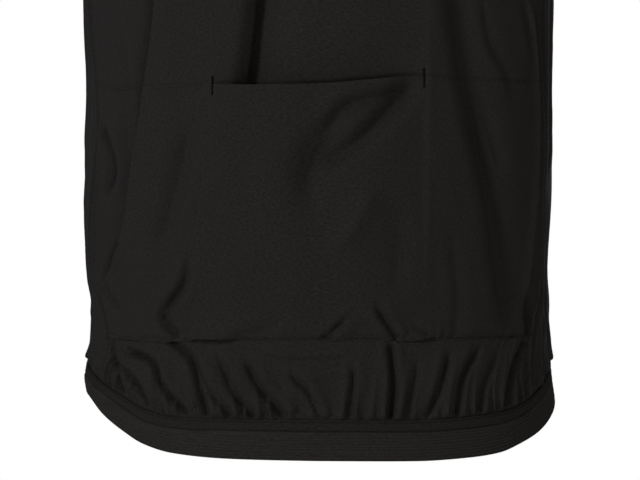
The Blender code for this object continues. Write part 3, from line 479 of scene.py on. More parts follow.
# The pocket puffs out above its bottom seam, which puckers it.
SEAM_PUFF = 0.0009
SEAM_PUFF_UP = 0.0060
SEAM_PUFF_REACH = 0.0045
SEAM_PUCKER = 0.0007
SEAM_PUCKER_LENGTH = 0.0100
SEAM_PUCKER_FADE = 0.006
SEAM_PUCKER_DRIFT = 3.0
SEAM_PUCKER_DRIFT_RATE = 1.4
SEAM_PUCKER_UNEVEN = 0.4
SEAM_PUCKER_UNEVEN_RATE = 0.9

# Elastic, which is flatter and darker in the stitched strip at its top.
RIB_PITCH = 0.0023
RIB_DEPTH = 0.00042
STITCHED_STRIP = 0.0092
STRIP_DIP = 0.0003
STRIP_RIBS = 0.5
STRIP_RAMP = 0.001
STRIP_EDGE = 0.0006
STRIP_GROOVE = 0.0003
BAND_PLAIN_ENDS = (176.0, 179.0)

# Mesh density. A crowding above 1 brings a panel's rows closer together towards one end.
FINE_BACK_COLUMNS = 8
FINE_POCKET_COLUMNS = 9
FINE_FRONT_COLUMNS = 8
TAIL_COLUMNS = 480
TAIL_ROWS = 44
POCKET_ROWS = 126
HIDDEN_ROWS = 30
MIDDLE_ROWS = 88
YOKE_ROWS = 46
FRONT_ROWS = 124
FRONT_YOKE_ROWS = 52
BAND_COLUMNS = 440
BAND_ROWS = 48
COLLAR_COLUMNS = 180
COLLAR_RISES = 22
YOKE_CROWDING = 1.35
MIDDLE_CROWDING = 1.25
FRONT_CROWDING = 1.2
ARMHOLE_CROWDING = 1.3
ARMHOLE_SAMPLES = 80
UNDERARM_SAMPLES = 52
BINDING_ROUNDS = 3
BOW_STEP = 30


# Smooth curves ------------------------------------------------------------------------------


def knot_slopes(knots, values):
    """Slopes that keep the curve from swinging past its knots."""
    secants = np.diff(values) / np.diff(knots)
    before, after = secants[:-1], secants[1:]
    alike = before * after > 0
    total = np.where(alike, before + after, 1)
    inner = np.where(alike, 2 * before * after / total, 0)
    return np.concatenate([secants[:1], inner, secants[-1:]])


def smooth(at, knots, values):
    """A smooth curve through the values at the knots, held level beyond its ends."""
    slopes = knot_slopes(knots, values)
    at = np.clip(at, knots[0], knots[-1])
    low = np.clip(np.searchsorted(knots, at) - 1, 0, len(knots) - 2)
    span = knots[low + 1] - knots[low]
    t = (at - knots[low]) / span
    hermite_low = (1 + 2 * t) * (1 - t) ** 2
    hermite_high = t**2 * (3 - 2 * t)
    bend_low = t * (1 - t) ** 2 * span
    bend_high = t**2 * (t - 1) * span
    placed = hermite_low * values[low] + hermite_high * values[low + 1]
    return placed + bend_low * slopes[low] + bend_high * slopes[low + 1]


def step_up(at, start, end):
    """0 before start and 1 after end, with a soft rise between."""
    t = np.clip((at - start) / np.maximum(end - start, 1e-9), 0, 1)
    return t * t * (3 - 2 * t)


def bell(away, reach, power=2):
    """1 at 0, falling off both ways within the reach."""
    return np.exp(-((np.abs(away) / reach) ** power))


def signed_power(value, power):
    return np.sign(value) * np.abs(value) ** power


def unit(vectors):
    """The same directions, each of length 1."""
    return vectors / np.maximum(np.linalg.norm(vectors, axis=-1, keepdims=True), 1e-12)


def curve_through(points, count):
    """A smooth curve through the points, as so many samples."""
    padded = np.concatenate([[2 * points[0] - points[1]], points, [2 * points[-1] - points[-2]]])
    samples = []
    for at in np.linspace(0, len(points) - 1, count):
        k = min(int(at), len(points) - 2)
        t = at - k
        p0, p1, p2, p3 = padded[k : k + 4]
        bend = (2 * p0 - 5 * p1 + 4 * p2 - p3) * t * t + (3 * p1 - p0 - 3 * p2 + p3) * t**3
        samples.append(p1 + 0.5 * ((p2 - p0) * t + bend))
    return np.array(samples)


# The body's surface -------------------------------------------------------------------------


def shoulder_height(across):
    """Height of the shoulder line, which eases into level over the neck."""
    beyond = np.abs(across) - NECK_HALF
    eased = (beyond + np.hypot(beyond, NECK_EASE)) / 2
    return -SHOULDER_DROP * eased / (SHOULDER_HALF - NECK_HALF)


def top_height(across, back):
    """Height of a panel's top edge: the neckline and, beyond it, the shoulder seam."""
    drop = NECK_DROP_BACK if back else NECK_DROP_FRONT
    power = NECK_POWER_BACK if back else NECK_POWER_FRONT
    inside = np.minimum(np.abs(across) / NECK_HALF, 1)
    return shoulder_height(across) - drop * (1 - inside**power)


def read(columns, name, at):
    """A table's column at places along the table's first column."""
    return smooth(at, next(iter(columns.values())), columns[name])


def by_side(columns, at, sign, kind=""):
    """A table's column for the left or the right side, chosen by the sign."""
    left = read(columns, "left" + kind, at)
    right = read(columns, "right" + kind, at)
    return np.where(np.asarray(sign) > 0, right, left)


def section(height):
    """Half-widths and depths of the body at a height."""
    return {name: read(SECTIONS, name, height) for name in ("left", "right", "back", "front")}


def body(turn, height, proud=0.0):
    """Points of the worn surface, moved out level by proud."""
    turn, height = np.broadcast_arrays(np.asarray(turn, float), np.asarray(height, float))
    sine = np.sin(np.radians(turn))
    cosine = np.cos(np.radians(turn))
    size = section(height)
    half = np.where(sine > 0, size["right"], size["left"])
    depth = np.where(cosine > 0, size["back"], size["front"])
    along = signed_power(sine, 2 / SQUARENESS)
    behind = signed_power(cosine, 2 / SQUARENESS)
    across = half * along
    rounding = np.where(cosine > 0, ROUNDING_BACK, ROUNDING_FRONT)
    fall = np.clip((shoulder_height(across) - height) / rounding, 0, 1)
    closing = np.sqrt(1 - (1 - fall) ** 2)
    out_across = signed_power(along, SQUARENESS - 1) / half
    out_behind = signed_power(behind, SQUARENESS - 1) / depth
    size_out = np.hypot(out_across, out_behind)
    x = -(across + proud * out_across / size_out)
    y = depth * behind * closing - np.sign(cosine) * SHOULDER_LAP + proud * out_behind / size_out
    return np.stack([x, y, height + 0 * x], axis=-1)


def turn_at(across, half):
    """Turn at which a section of this half-width is that far across."""
    return np.degrees(np.arcsin(np.clip(np.abs(across) / half, 0, 1) ** (SQUARENESS / 2)))


def zip_turn(height):
    """How far short of 180 the zip's edge lies."""
    return turn_at(ZIP_HALF, section(height)["right"])


def across_at(turn, height):
    return -body(turn, height)[..., 0]


def body_normals(turn, height):
    """Outward directions of the body's surface; on the shoulder seam they lean neither way."""
    across = across_at(turn, height)
    on_seam = (shoulder_height(across) - height < SEAM_GAP) & (np.abs(across) > NECK_HALF - SEAM_GAP)
    height = np.minimum(height, shoulder_height(across) - NORMAL_BELOW_SHOULDER)
    round_body = body(turn + NORMAL_TURN, height) - body(turn - NORMAL_TURN, height)
    up_body = body(turn, height + NORMAL_REACH) - body(turn, height - NORMAL_REACH)
    normals = np.cross(round_body, up_body)
    normals[on_seam, 1] = 0
    return unit(normals)


def side_seam(height, sign):
    """Turn of a side seam, without its sign."""
    return by_side(SIDE_SEAMS, height, sign)


def hem_height(turn):
    return by_side(HEM, np.abs(turn), turn)


def band_top(turn):
    return hem_height(turn) + by_side(HEM, np.abs(turn), turn, "_band")


def pocket_edge(across):
    return read(POCKET_TOP, "height", across)


def pocket_seam(across):
    """The pocket's bottom seam, which its stitches pull slightly up and down."""
    sway = SEAM_SWAY * np.sin(SEAM_SWAY_RATE * across)
    wave = np.sin(2 * math.pi * across / SEAM_PUCKER_LENGTH + sway)
    return read(POCKET_SEAM_LINE, "height", across) + SEAM_WAVE * wave


def mouth_width(across):
    """1 at the middle of the pocket's mouth, and 0 from its two ends on."""
    return np.maximum(1 - (np.abs(across) / MOUTH_HALF) ** MOUTH_POWER, 0)


def mouth_opening(across, height):
    """1 where the pocket stands open and 0 where its layers lie together."""
    below = pocket_edge(across) - height
    fade = 1 - step_up(below, MOUTH_FLAT_DOWN, MOUTH_FLAT_DOWN + MOUTH_RAMP_DOWN)
    return mouth_width(across) * fade * step_up(below, -MOUTH_RAMP_UP, 0)


# Relief -------------------------------------------------------------------------------------


def three_point(height, tops, middles, bottoms):
    """The parabola through three (height, place) points."""
    points = (tops, middles, bottoms)
    place = 0
    for i, (own, value) in enumerate(points):
        others = [points[j][0] for j in range(3) if j != i]
        weight = (height - others[0]) * (height - others[1])
        place = place + value * weight / ((own - others[0]) * (own - others[1]))
    return place


def swells(across, height):
    """Slow folds of the back."""
    relief = 0
    for row in rows_of(SWELLS):
        places = [(row[level], row[level + "_across"]) for level in ("top", "middle", "bottom")]
        line = three_point(height, *places)
        down = (row["top"] - height) / (row["top"] - row["bottom"])
        along = step_up(down, *SWELL_HEAD) * (1 - step_up(down, *SWELL_FOOT))
        relief = relief - row["depth"] * along * bell(across - line, row["width"])
    return relief


def crumple(across, height):
    """Slight unevenness all over."""
    relief = 0
    for row in rows_of(CRUMPLE):
        lean = math.radians(row["angle"])
        run = across * math.cos(lean) + height * math.sin(lean)
        slow = np.sin(CRUMPLE_DRIFT_UP * height + 2 * row["phase"])
        slow = slow + np.sin(CRUMPLE_DRIFT_ACROSS * across + row["phase"])
        relief = relief + row["height"] * np.sin(2 * math.pi * run / row["length"] + row["phase"] + slow)
    return relief


def crease(across, height, row):
    """Relief of one crease: its dip, and the ridges that lie beside it."""
    points = np.array([[row["a%d" % k], row["h%d" % k]] for k in (1, 2, 3, 4)])
    line = curve_through(points, CREASE_SAMPLES)
    reach = CREASE_REACHES * max(row["left"], row["right"])
    relief = np.zeros(across.shape)
    low, high = line.min(axis=0) - reach, line.max(axis=0) + reach
    near = (across > low[0]) & (across < high[0]) & (height > low[1]) & (height < high[1])
    a = np.column_stack([across[near], height[near]])
    starts, runs = line[:-1], np.diff(line, axis=0)
    from_start = a[:, None, :] - starts
    t = np.clip((from_start * runs).sum(axis=2) / (runs**2).sum(axis=1), 0, 1)
    apart = from_start - t[:, :, None] * runs
    distance = np.hypot(apart[..., 0], apart[..., 1])
    nearest = distance.argmin(axis=1)
    own = np.arange(len(a))
    side = runs[nearest, 0] * from_start[own, nearest, 1] - runs[nearest, 1] * from_start[own, nearest, 0]
    offset = distance[own, nearest] * np.where(side > 0, 1, -1)
    along = (nearest + t[own, nearest]) / len(runs)
    reach = np.where(offset < 0, row["left"], row["right"])
    dip = CREASE_DEPTH * row["depth"] * bell(offset, reach, CREASE_POWER)
    lift = np.where(offset < 0, row["lift_left"], row["lift_right"])
    lifted_at = LIFT_OFFSET + LIFT_OFFSET_REACHES * reach
    ridge = bell(np.abs(offset) - lifted_at, LIFT_SPREAD + LIFT_SPREAD_REACHES * reach)
    fade = step_up(along, 0, row["head"]) * (1 - step_up(along, 1 - row["foot"], 1))
    relief[near] = fade * (CREASE_LIFT * lift * ridge - dip)
    return relief


def creases(across, height, *tables):
    """Relief of all the creases of some tables."""
    return sum(crease(across, height, row) for columns in tables for row in rows_of(columns))


def pleat_relief(across, height, line, size):
    """How far a pleat moves the cloth out, and how far across its upper side laps."""
    offset = across - read(line, "across", height)
    over_side = -math.copysign(1, size["lap"])
    on_top = offset * over_side >= 0
    along = (1 - step_up(height, *PLEAT_HEAD)) * step_up(height, size["foot_end"], size["foot_start"])
    distance = np.abs(offset)
    deep = -size["under"] * bell(distance, size["under_reach"], size["under_power"])
    deep = deep - size["notch"] * bell(distance, size["notch_reach"], 1)
    proud = size["over"] * bell(distance, size["over_reach"])
    proud = proud - size["roll"] * bell(distance, size["roll_reach"], CREASE_POWER)
    lapped = size["lap"] * bell(distance, size["lap_reach"])
    return along * np.where(on_top, proud, deep), along * np.where(on_top, lapped, 0)


def follow_pleats(turn, height, pleats):
    """Slides a grid's columns so that a pair of them lies along each pleat's line."""
    columns = turn[-1]
    picked = []
    for line in pleats:
        half = section(PLEAT_COLUMNS_FOLLOW[1])["left"]
        nominal = -turn_at(line["across"][-1], half)
        picked.append(int(np.searchsorted(columns, nominal)))
    slid = turn.copy()
    for row in range(len(turn)):
        own, level = turn[row], height[row]
        knots, places = [own[0]], [own[0]]
        for column, line in zip(picked, pleats):
            middle = level[column]
            across = read(line, "across", middle)
            wanted = -turn_at(across, section(middle)["left"])
            free = step_up(middle, *PLEAT_COLUMNS_FOLLOW)
            edge = np.degrees(PLEAT_EDGE / section(middle)["left"])
            for side, k in ((-1, column), (1, column + 1)):
                knots.append(own[k])
                places.append(free * own[k] + (1 - free) * (wanted + side * edge))
        knots += [own[len(own) // 2], own[-1]]
        places += [own[len(own) // 2], own[-1]]
        slid[row] = np.interp(own, knots, places)
    return slid


def seam_roll(turn, height):
    """How a panel rolls over into the side seam, with small puckers along it."""
    from_seam = np.abs(np.abs(turn) - side_seam(height, turn))
    uneven = 1 - ROLL_UNEVEN + ROLL_UNEVEN * np.sin(ROLL_UNEVEN_RATE * height + np.sign(turn))
    dip = SEAM_DIP * bell(from_seam, SEAM_REACH_TURN)
    roll = SEAM_ROLL * uneven * bell(from_seam - ROLL_TURN, ROLL_SPREAD_TURN)
    sway = PUCKER_SWAY * np.sin(PUCKER_SWAY_RATE * height)
    wave = np.sin(2 * math.pi * height / PUCKER_LENGTH + sway)
    return roll - dip + PUCKER * wave * bell(from_seam, ROLL_TURN)


def within_side(turn, height):
    """1 on the back and 0 at its side seams, where its creases end."""
    return step_up(side_seam(height, turn) - np.abs(turn), *CREASES_END)


def back_relief(turn, height, *tables):
    across = across_at(turn, height)
    inside = within_side(turn, height)
    relief = swells(across, height) + creases(across, height, *tables) + crumple(across, height)
    return relief * inside + seam_roll(turn, height)


def front_relief(turn, height, sign):
    """Relief of a front; the two fronts crease alike, a little apart."""
    round_from_zip = (180 - turn) * GIRTH_PER_TURN + (LEFT_FRONT_SHIFT if sign < 0 else 0)
    inside = step_up(turn - side_seam(height, sign), *CREASES_END) * (1 - step_up(turn, *ZIP_FLAT))
    relief = creases(round_from_zip, height, FRONT_CREASES)
    relief = relief + crumple(round_from_zip, height + FRONT_CRUMPLE_SHIFT * sign)
    near_top = 1 - step_up(height, *FRONT_FLAT_TOP)
    return (relief * inside + seam_roll(sign * turn, height)) * near_top


def gather_drift(place):
    drift = 0
    for row in rows_of(GATHER_DRIFT):
        drift = drift + row["waves"] * np.sin(row["rate"] * place + row["phase"])
    return drift


def gather_cycles(place, count):
    """Waves passed at a place from 0 to 1, unevenly spaced."""
    start, end = gather_drift(0.0), gather_drift(1.0)
    return count * place + gather_drift(place) - start - (end - start) * place


def fine_gathers(place, above, count):
    """Relief of the finest gathers, which come in patches close to the elastic."""
    drift = FINE_GATHER_DRIFT * np.sin(FINE_GATHER_DRIFT_RATE * place)
    phase = 2 * math.pi * gather_cycles(place, count * FINE_GATHERS) + drift
    one, other = FINE_PATCH_RATES
    patchy = np.maximum(np.sin(one * place + FINE_PATCH_PHASE) + np.sin(other * place), 0) / 2
    wave = np.sin(phase + FINE_GATHER_LEAN * above)
    return FINE_GATHER_DEPTH * patchy * wave * np.exp(-above / FINE_GATHER_FADE)


def gathers(place, above, count, fade):
    """Relief of the gathers, narrow in their troughs, which fade above the elastic."""
    phase = 2 * math.pi * gather_cycles(place, count)
    drifting = phase + GATHER_SWAY * np.sin(GATHER_SWAY_UP * above + phase / 2)
    wave = np.cos(drifting) + GATHER_SHARPEN * np.cos(2 * drifting + GATHER_SHARPEN_PHASE)
    one, other = GATHER_UNEVEN_RATES
    patchy = np.sin(one * place + GATHER_UNEVEN_PHASE) * np.cos(other * place)
    uneven = 1 - GATHER_UNEVEN + GATHER_UNEVEN * patchy
    ends = step_up(place, *GATHER_START) * (1 - step_up(place, *GATHER_END))
    height = GATHER_LEFT_AT_SEAM + (GATHER_DEPTH - GATHER_LEFT_AT_SEAM) * np.exp(-above / fade)
    return ends * (uneven * height * wave + fine_gathers(place, above, count))


# Meshes -------------------------------------------------------------------------------------

# Edges that bend more than this aren't shaded smooth.
SHARP_EDGE = 55.0

# Step of the second cloth coordinate from one corner of a swept cross-section to the next.
CORNER_STEP = 0.001


def make_object(name, points, faces, material, cloth=None):
    """A smooth mesh that rides on the vest. Cloth holds each point's place on the flat cloth."""
    mesh = bpy.data.meshes.new(name)
    mesh.from_pydata([tuple(map(float, p)) for p in points], [], faces)
    mesh.update()
    mesh.shade_smooth()
    mesh.set_sharp_from_angle(angle=math.radians(SHARP_EDGE))
    if cloth is not None:
        places = mesh.attributes.new("cloth", "FLOAT_VECTOR", "POINT")
        places.data.foreach_set("vector", np.ascontiguousarray(cloth, np.float32).ravel())
    mesh.materials.append(material)
    made = bpy.data.objects.new(name, mesh)
    bpy.context.scene.collection.objects.link(made)
    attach(made, "root")
    return made


def grid_normals(points):
    """Outward directions at a grid's points, from rows up and columns towards -X seen from behind."""
    return unit(np.cross(np.gradient(points, axis=1), np.gradient(points, axis=0)))


def grid_quads(index):
    """Faces of a grid, from the numbers of its points."""
    corners = (index[:-1, :-1], index[:-1, 1:], index[1:, 1:], index[1:, :-1])
    return np.column_stack([corner.ravel() for corner in corners])


def cloth_places(turn, height, strip=0):
    """Places on the flat cloth, and 1 where the elastic's stitched strip is."""
    return np.stack([turn * GIRTH_PER_TURN, height, strip + 0 * height], axis=-1)


def closed_wall(name, outer, depth, cloth, quads, loop, material, turned=False):
    """A wall from its outer points and how deep it is at each, closed round the loop at its edge."""
    count = len(outer)
    after = np.roll(loop, -1)
    rim = np.column_stack([after, loop, loop + count, after + count])
    faces = np.concatenate([quads, quads[:, ::-1] + count, rim])
    if turned:
        faces = faces[:, ::-1]
    points = np.concatenate([outer, outer - depth])
    return make_object(name, points, faces.tolist(), material, np.concatenate([cloth] * 2))


def panel(name, turn, height, proud, material, thickness=CLOTH, lap=0, strip=0):
    """A wall on a grid of the body's surface, moved out by proud and across by lap."""
    points = body(turn, height, proud)
    points[..., 0] -= lap
    grids = (points, grid_normals(points), body_normals(turn, height), cloth_places(turn, height, strip))
    outer, outward, at_rim, cloth = (grid.reshape(-1, 3) for grid in grids)
    index = np.arange(turn.size).reshape(turn.shape)
    loop = np.concatenate([index[0, :-1], index[:-1, -1], index[-1, :0:-1], index[:0:-1, 0]])
    outward[loop] = at_rim[loop]
    return closed_wall(name, outer, outward * thickness, cloth, grid_quads(index), loop, material)


def running_length(line):
    """Distances of a line's points from its start."""
    return np.concatenate([[0], np.cumsum(np.linalg.norm(np.diff(line, axis=0), axis=1))])


def sweep(name, lines, closed, material):
    """A solid whose cross-section is carried along lines, one from each of its corners."""
    lines = [np.asarray(line) for line in lines]
    count = len(lines[0])
    corners = len(lines)
    runs = count if closed else count - 1
    faces = []
    for k in range(corners):
        after = (k + 1) % corners * count
        for i in range(runs):
            j = (i + 1) % count
            faces.append((k * count + i, k * count + j, after + j, after + i))
    if not closed:
        faces.append(tuple(k * count for k in range(corners)))
        faces.append(tuple(k * count + count - 1 for k in reversed(range(corners))))
    points = np.concatenate(lines)
    run = running_length(lines[0])
    cloth = [np.column_stack([run, 0 * run + CORNER_STEP * k, 0 * run]) for k in range(corners)]
    made = make_object(name, points, faces, material, np.concatenate(cloth))
    shape = bmesh.new()
    shape.from_mesh(made.data)
    if shape.calc_volume(signed=True) < 0:
        bmesh.ops.reverse_faces(shape, faces=shape.faces)
        shape.to_mesh(made.data)
    shape.free()
    return made


def tube_faces(base, rings, sides):
    """Faces of a closed tube, whose rings of points are numbered on from base."""
    faces = []
    for ring in range(rings - 1):
        for k in range(sides):
            low = base + ring * sides
            after = (k + 1) % sides
            faces.append((low + k, low + sides + k, low + sides + after, low + after))
    faces.append(tuple(base + k for k in range(sides)))
    faces.append(tuple(base + (rings - 1) * sides + k for k in reversed(range(sides))))
    return faces


# Stitching ----------------------------------------------------------------------------------
# A stitch is given by its length and its pitch.

THREAD = 0.00018
PLAIN_STITCH = (0.0024, 0.0030)
POCKET_STITCH = (0.0020, 0.0027)
HEM_STITCH = (0.0021, 0.0027)
STITCH_SIDES = 5
STITCH_BOW = ((0.0, -1.0), (0.2, 0.7), (0.5, 1.1), (0.8, 0.7), (1.0, -1.0))


def thread_run(starts, ends, outs, thickness):
    """Points and faces of stitches, each from its start to its end, bowed outward."""
    points = []
    faces = []
    for start, end, out in zip(starts, ends, outs):
        along = unit(end - start)
        aside = np.cross(along, out)
        faces += tube_faces(len(points), len(STITCH_BOW), STITCH_SIDES)
        for share, lift in STITCH_BOW:
            centre = start + share * (end - start) + out * lift * thickness
            for k in range(STITCH_SIDES):
                angle = 2 * math.pi * k / STITCH_SIDES
                points.append(centre + thickness * (math.cos(angle) * aside + math.sin(angle) * out))
    return points, faces


def even_places(line, pitch):
    """Distances along a line at this pitch, and the running distance of its own points."""
    run = running_length(line)
    return np.arange(pitch / 2, run[-1] - pitch / 2, pitch), run


def read_line(line, run, at):
    return np.column_stack([np.interp(at, run, line[:, k]) for k in range(3)])


def stitch_line(name, line, outs, stitch=PLAIN_STITCH):
    """A row of stitches along a line that lies on the cloth."""
    length, pitch = stitch
    at, run = even_places(line, pitch)
    starts = read_line(line, run, at - length / 2)
    ends = read_line(line, run, at + length / 2)
    normals = unit(read_line(outs, run, at))
    points, faces = thread_run(starts, ends, normals, THREAD)
    return make_object(name, points, faces, thread_material)


# Materials ----------------------------------------------------------------------------------

SLUB_STRETCHES = ((420.0, 2600.0, 1.0), (2600.0, 420.0, 1.0))

# The scale and the detail of each noise.
SLUB = (1.0, 2.0)
WORN = (55.0, 3.0)
MOTTLE = (620.0, 2.0)
GRAIN_DETAIL = 3.0

# The threads are bands of a wave texture, which has this many waves in a metre at a scale of 1.
THREADS_UNEVEN = {"Distortion": 1.2, "Detail": 1.0, "Detail Scale": 1.5}
WAVES_PER_SCALE = 10 / math.pi
WEAVE_STRENGTH = 0.5
SLUB_STRENGTH = 0.6
WRINKLE_STRENGTH = 0.5
CLOTH_SHADES = 0.5
SOLID_SHADES = 0.2
SOLID_ROUGHNESS_SPREAD = 0.08
SHEEN_ROUGHNESS = 0.45
SHEEN_TINT = (0.95, 0.96, 1.0, 1)


def new_material(name):
    """A material, its nodes and its shader."""
    material = bpy.data.materials.new(name)
    material.use_nodes = True
    return material, material.node_tree, material.node_tree.nodes["Principled BSDF"]


def feed(tree, node, inputs):
    """Gives a node's inputs their values, or the sockets that feed them."""
    for key, value in inputs.items():
        if isinstance(value, bpy.types.NodeSocket):
            tree.links.new(value, node.inputs[key])
        else:
            node.inputs[key].default_value = value


def add_node(tree, kind, inputs, **settings):
    node = tree.nodes.new("ShaderNode" + kind)
    for setting, value in settings.items():
        setattr(node, setting, value)
    feed(tree, node, inputs)
    return node


def math_node(tree, operation, *values):
    return add_node(tree, "Math", dict(enumerate(values)), operation=operation).outputs["Value"]


def noise(tree, place, scale, detail):
    inputs = {"Vector": place, "Scale": scale, "Detail": detail}
    return add_node(tree, "TexNoise", inputs).outputs["Fac"]


def ramp(tree, value, start, end, low, high, **settings):
    """A value carried from between start and end to between low and high."""
    inputs = {"Value": value, "From Min": start, "From Max": end, "To Min": low, "To Max": high}
    return add_node(tree, "MapRange", inputs, **settings).outputs["Result"]


def shades(tree, share, colour, spread):
    """A colour, darker by the spread where the share is 0 and lighter where it is 1."""
    dark, light = ((*[factor * c for c in colour], 1) for factor in (1 - spread, 1 + spread))
    return add_node(tree, "Mix", {0: share, 6: dark, 7: light}, data_type="RGBA").outputs[2]


def bumps(tree, *layers):
    """Normals bumped by layers of height, distance and strength, each on the one before."""
    below = {}
    for height, distance, strength in layers:
        inputs = {"Height": height, "Distance": distance, "Strength": strength, **below}
        below = {"Normal": add_node(tree, "Bump", inputs).outputs["Normal"]}
    return below["Normal"]


def woven_material(name, colour, roughness, thread, specular, sheen, weave_depth, wrinkle, strip=1.0):
    """Plain-weave cloth: threads both ways, slight slubs and small wrinkles.

    Strip is how much darker the cloth is where its third cloth coordinate is 1.
    """
    material, tree, shader = new_material(name)
    place = add_node(tree, "Attribute", {}, attribute_name="cloth").outputs["Vector"]
    waves = {"Vector": place, "Scale": 1 / (WAVES_PER_SCALE * thread), **THREADS_UNEVEN}
    threads = [
        add_node(tree, "TexWave", waves, wave_type="BANDS", bands_direction=way).outputs["Fac"]
        for way in ("X", "Y")
    ]
    crossing = math_node(tree, "MAXIMUM", *threads)
    slubs = []
    for stretch in SLUB_STRETCHES:
        spread = add_node(tree, "Mapping", {"Vector": place, "Scale": stretch})
        slubs.append(noise(tree, spread.outputs["Vector"], *SLUB))
    slub = math_node(tree, "ADD", *slubs)
    uneven = math_node(tree, "ADD", slub, noise(tree, place, *MOTTLE))
    shade = shades(tree, ramp(tree, uneven, 1.0, 2.0, 0.0, 1.0), colour, CLOTH_SHADES)
    in_strip = add_node(tree, "SeparateXYZ", {0: place}).outputs["Z"]
    darker = ramp(tree, in_strip, 0.0, 1.0, 1.0, strip)
    dyed = add_node(tree, "VectorMath", {0: shade, "Scale": darker}, operation="SCALE")
    layers = (
        (crossing, weave_depth, WEAVE_STRENGTH),
        (slub, 2 * weave_depth, SLUB_STRENGTH),
        (noise(tree, place, *WORN), wrinkle, WRINKLE_STRENGTH),
    )
    looks = {
        "Base Color": dyed.outputs["Vector"],
        "Roughness": roughness,
        "Specular IOR Level": specular,
        "Sheen Weight": sheen,
        "Sheen Roughness": SHEEN_ROUGHNESS,
        "Sheen Tint": SHEEN_TINT,
        "Normal": bumps(tree, *layers),
    }
    feed(tree, shader, looks)
    return material


def solid_material(name, colour, roughness, metallic=0.0, grain=900.0, grain_depth=0.00002, specular=0.5):
    """Moulded or coated surface with a fine uneven grain."""
    material, tree, shader = new_material(name)
    place = add_node(tree, "TexCoord", {}).outputs["Object"]
    uneven = noise(tree, place, grain, GRAIN_DETAIL)
    spread = SOLID_ROUGHNESS_SPREAD
    looks = {
        "Base Color": shades(tree, uneven, colour, SOLID_SHADES),
        "Metallic": metallic,
        "Roughness": ramp(tree, uneven, 0.0, 1.0, roughness - spread, roughness + spread),
        "Specular IOR Level": specular,
        "Normal": bumps(tree, (uneven, grain_depth, 1.0)),
    }
    feed(tree, shader, looks)
    return material


BLACK_CLOTH = (0.0162, 0.0154, 0.0150)
ELASTIC_BLACK = (0.0218, 0.0204, 0.0189)
BINDING_BLACK = (0.0100, 0.0092, 0.0086)
THREAD_BLACK = (0.0060, 0.0056, 0.0051)
PLASTIC_BLACK = (0.0110, 0.0110, 0.0110)
METAL_BLACK = (0.0250, 0.0250, 0.0260)

cloth_material = woven_material(
    "windproof_cloth",
    BLACK_CLOTH,
    roughness=0.75,
    thread=0.00035,
    specular=0.01,
    sheen=0.0,
    weave_depth=0.00004,
    wrinkle=0.0002,
)
elastic_material = woven_material(
    "hem_elastic",
    ELASTIC_BLACK,
    roughness=0.90,
    thread=0.00060,
    specular=0.0,
    sheen=0.0,
    weave_depth=0.00010,
    wrinkle=0.0001,
    strip=0.72,
)
binding_material = woven_material(
    "edge_binding",
    BINDING_BLACK,
    roughness=0.72,
    thread=0.00045,
    specular=0.15,
    sheen=0.06,
    weave_depth=0.00006,
    wrinkle=0.0001,
)
tape_material = woven_material(
    "zip_tape",
    BINDING_BLACK,
    roughness=0.70,
    thread=0.00050,
    specular=0.15,
    sheen=0.05,
    weave_depth=0.00008,
    wrinkle=0.0001,
)
thread_material = solid_material("thread", THREAD_BLACK, 0.85, grain=4000.0, specular=0.0)
plastic_material = solid_material("zip_plastic", PLASTIC_BLACK, 0.42, specular=0.25)
metal_material = solid_material("zip_metal", METAL_BLACK, 0.36, metallic=0.8, grain=600.0)


# Panels -------------------------------------------------------------------------------------


def neck_fractions():
    """Column fractions from the middle to the neck point, even round the neckline."""
    turns = np.linspace(0, math.pi / 2, NECK_COLUMNS + 1)
    top_half = SECTIONS["right"][-1]
    return turn_at(NECK_HALF * np.sin(turns), top_half) / turn_at(SHOULDER_HALF, top_half)


def yoke_fractions(outer, finer):
    """Column fractions from the middle (0) to the armhole (1), each column split finer."""
    inner = neck_fractions()
    beyond = np.linspace(inner[-1], 1, outer + 1)[1:]
    coarse = np.concatenate([inner, beyond])
    at = np.linspace(0, len(coarse) - 1, (len(coarse) - 1) * finer + 1)
    return np.interp(at, np.arange(len(coarse)), coarse)


def yoke_row(fractions, rise, armhole, first_step, base_turn, back):
    """One row above the underarm, from the middle (0) out to the armhole's edge (1)."""
    step = first_step + rise * (armhole["step"][-1] - first_step)
    edge_turn = read(armhole, "turn", step)
    edge_height = read(armhole, "height", step)
    base_height = armhole["height"][first_step]
    across_low = across_at(fractions * base_turn, base_height)
    across_high = across_at(fractions * turn_at(SHOULDER_HALF, SECTIONS["right"][-1]), 0.0)
    straight = across_low + rise * (across_high - across_low)
    beyond = np.maximum(fractions - neck_fractions()[-1], 0) / (1 - neck_fractions()[-1])
    across = straight + beyond**YOKE_BEND * (across_at(edge_turn, edge_height) - straight[-1])
    climb = 1 - (1 - rise**YOKE_START) ** YOKE_FINISH
    middle = base_height + (top_height(across_high, back) - base_height) * climb
    near_top = rise**YOKE_EDGE_FADE
    lean = fractions**YOKE_EDGE_SPREAD * (1 - near_top) + near_top * (fractions >= 1)
    height = middle + (edge_height - middle) * lean
    if not back:
        across = np.maximum(across, ZIP_HALF)
    turn = turn_at(across, section(height)["right"])
    return (turn if back else 180 - turn), height


def yoke_rises(count):
    """Rises of the yoke's rows, closer together near the shoulder seam."""
    even = np.linspace(0, 1, count + 1)[1:]
    return 1 - (1 - even) ** YOKE_CROWDING


def mirrored(right):
    """Fractions on both sides of the middle."""
    return np.concatenate([-right[:0:-1], right])


def hidden_drop(turn, height, below):
    """How far the layer behind the pocket lies back, free of the pocket."""
    drop = HIDDEN_DROP * step_up(below, *HIDDEN_DROP_RAMP)
    drop = drop * step_up(height - POCKET_SEAM, *HIDDEN_DROP_RAMP)
    return drop * (1 - step_up(np.abs(turn), *HIDDEN_DROP_SIDE))


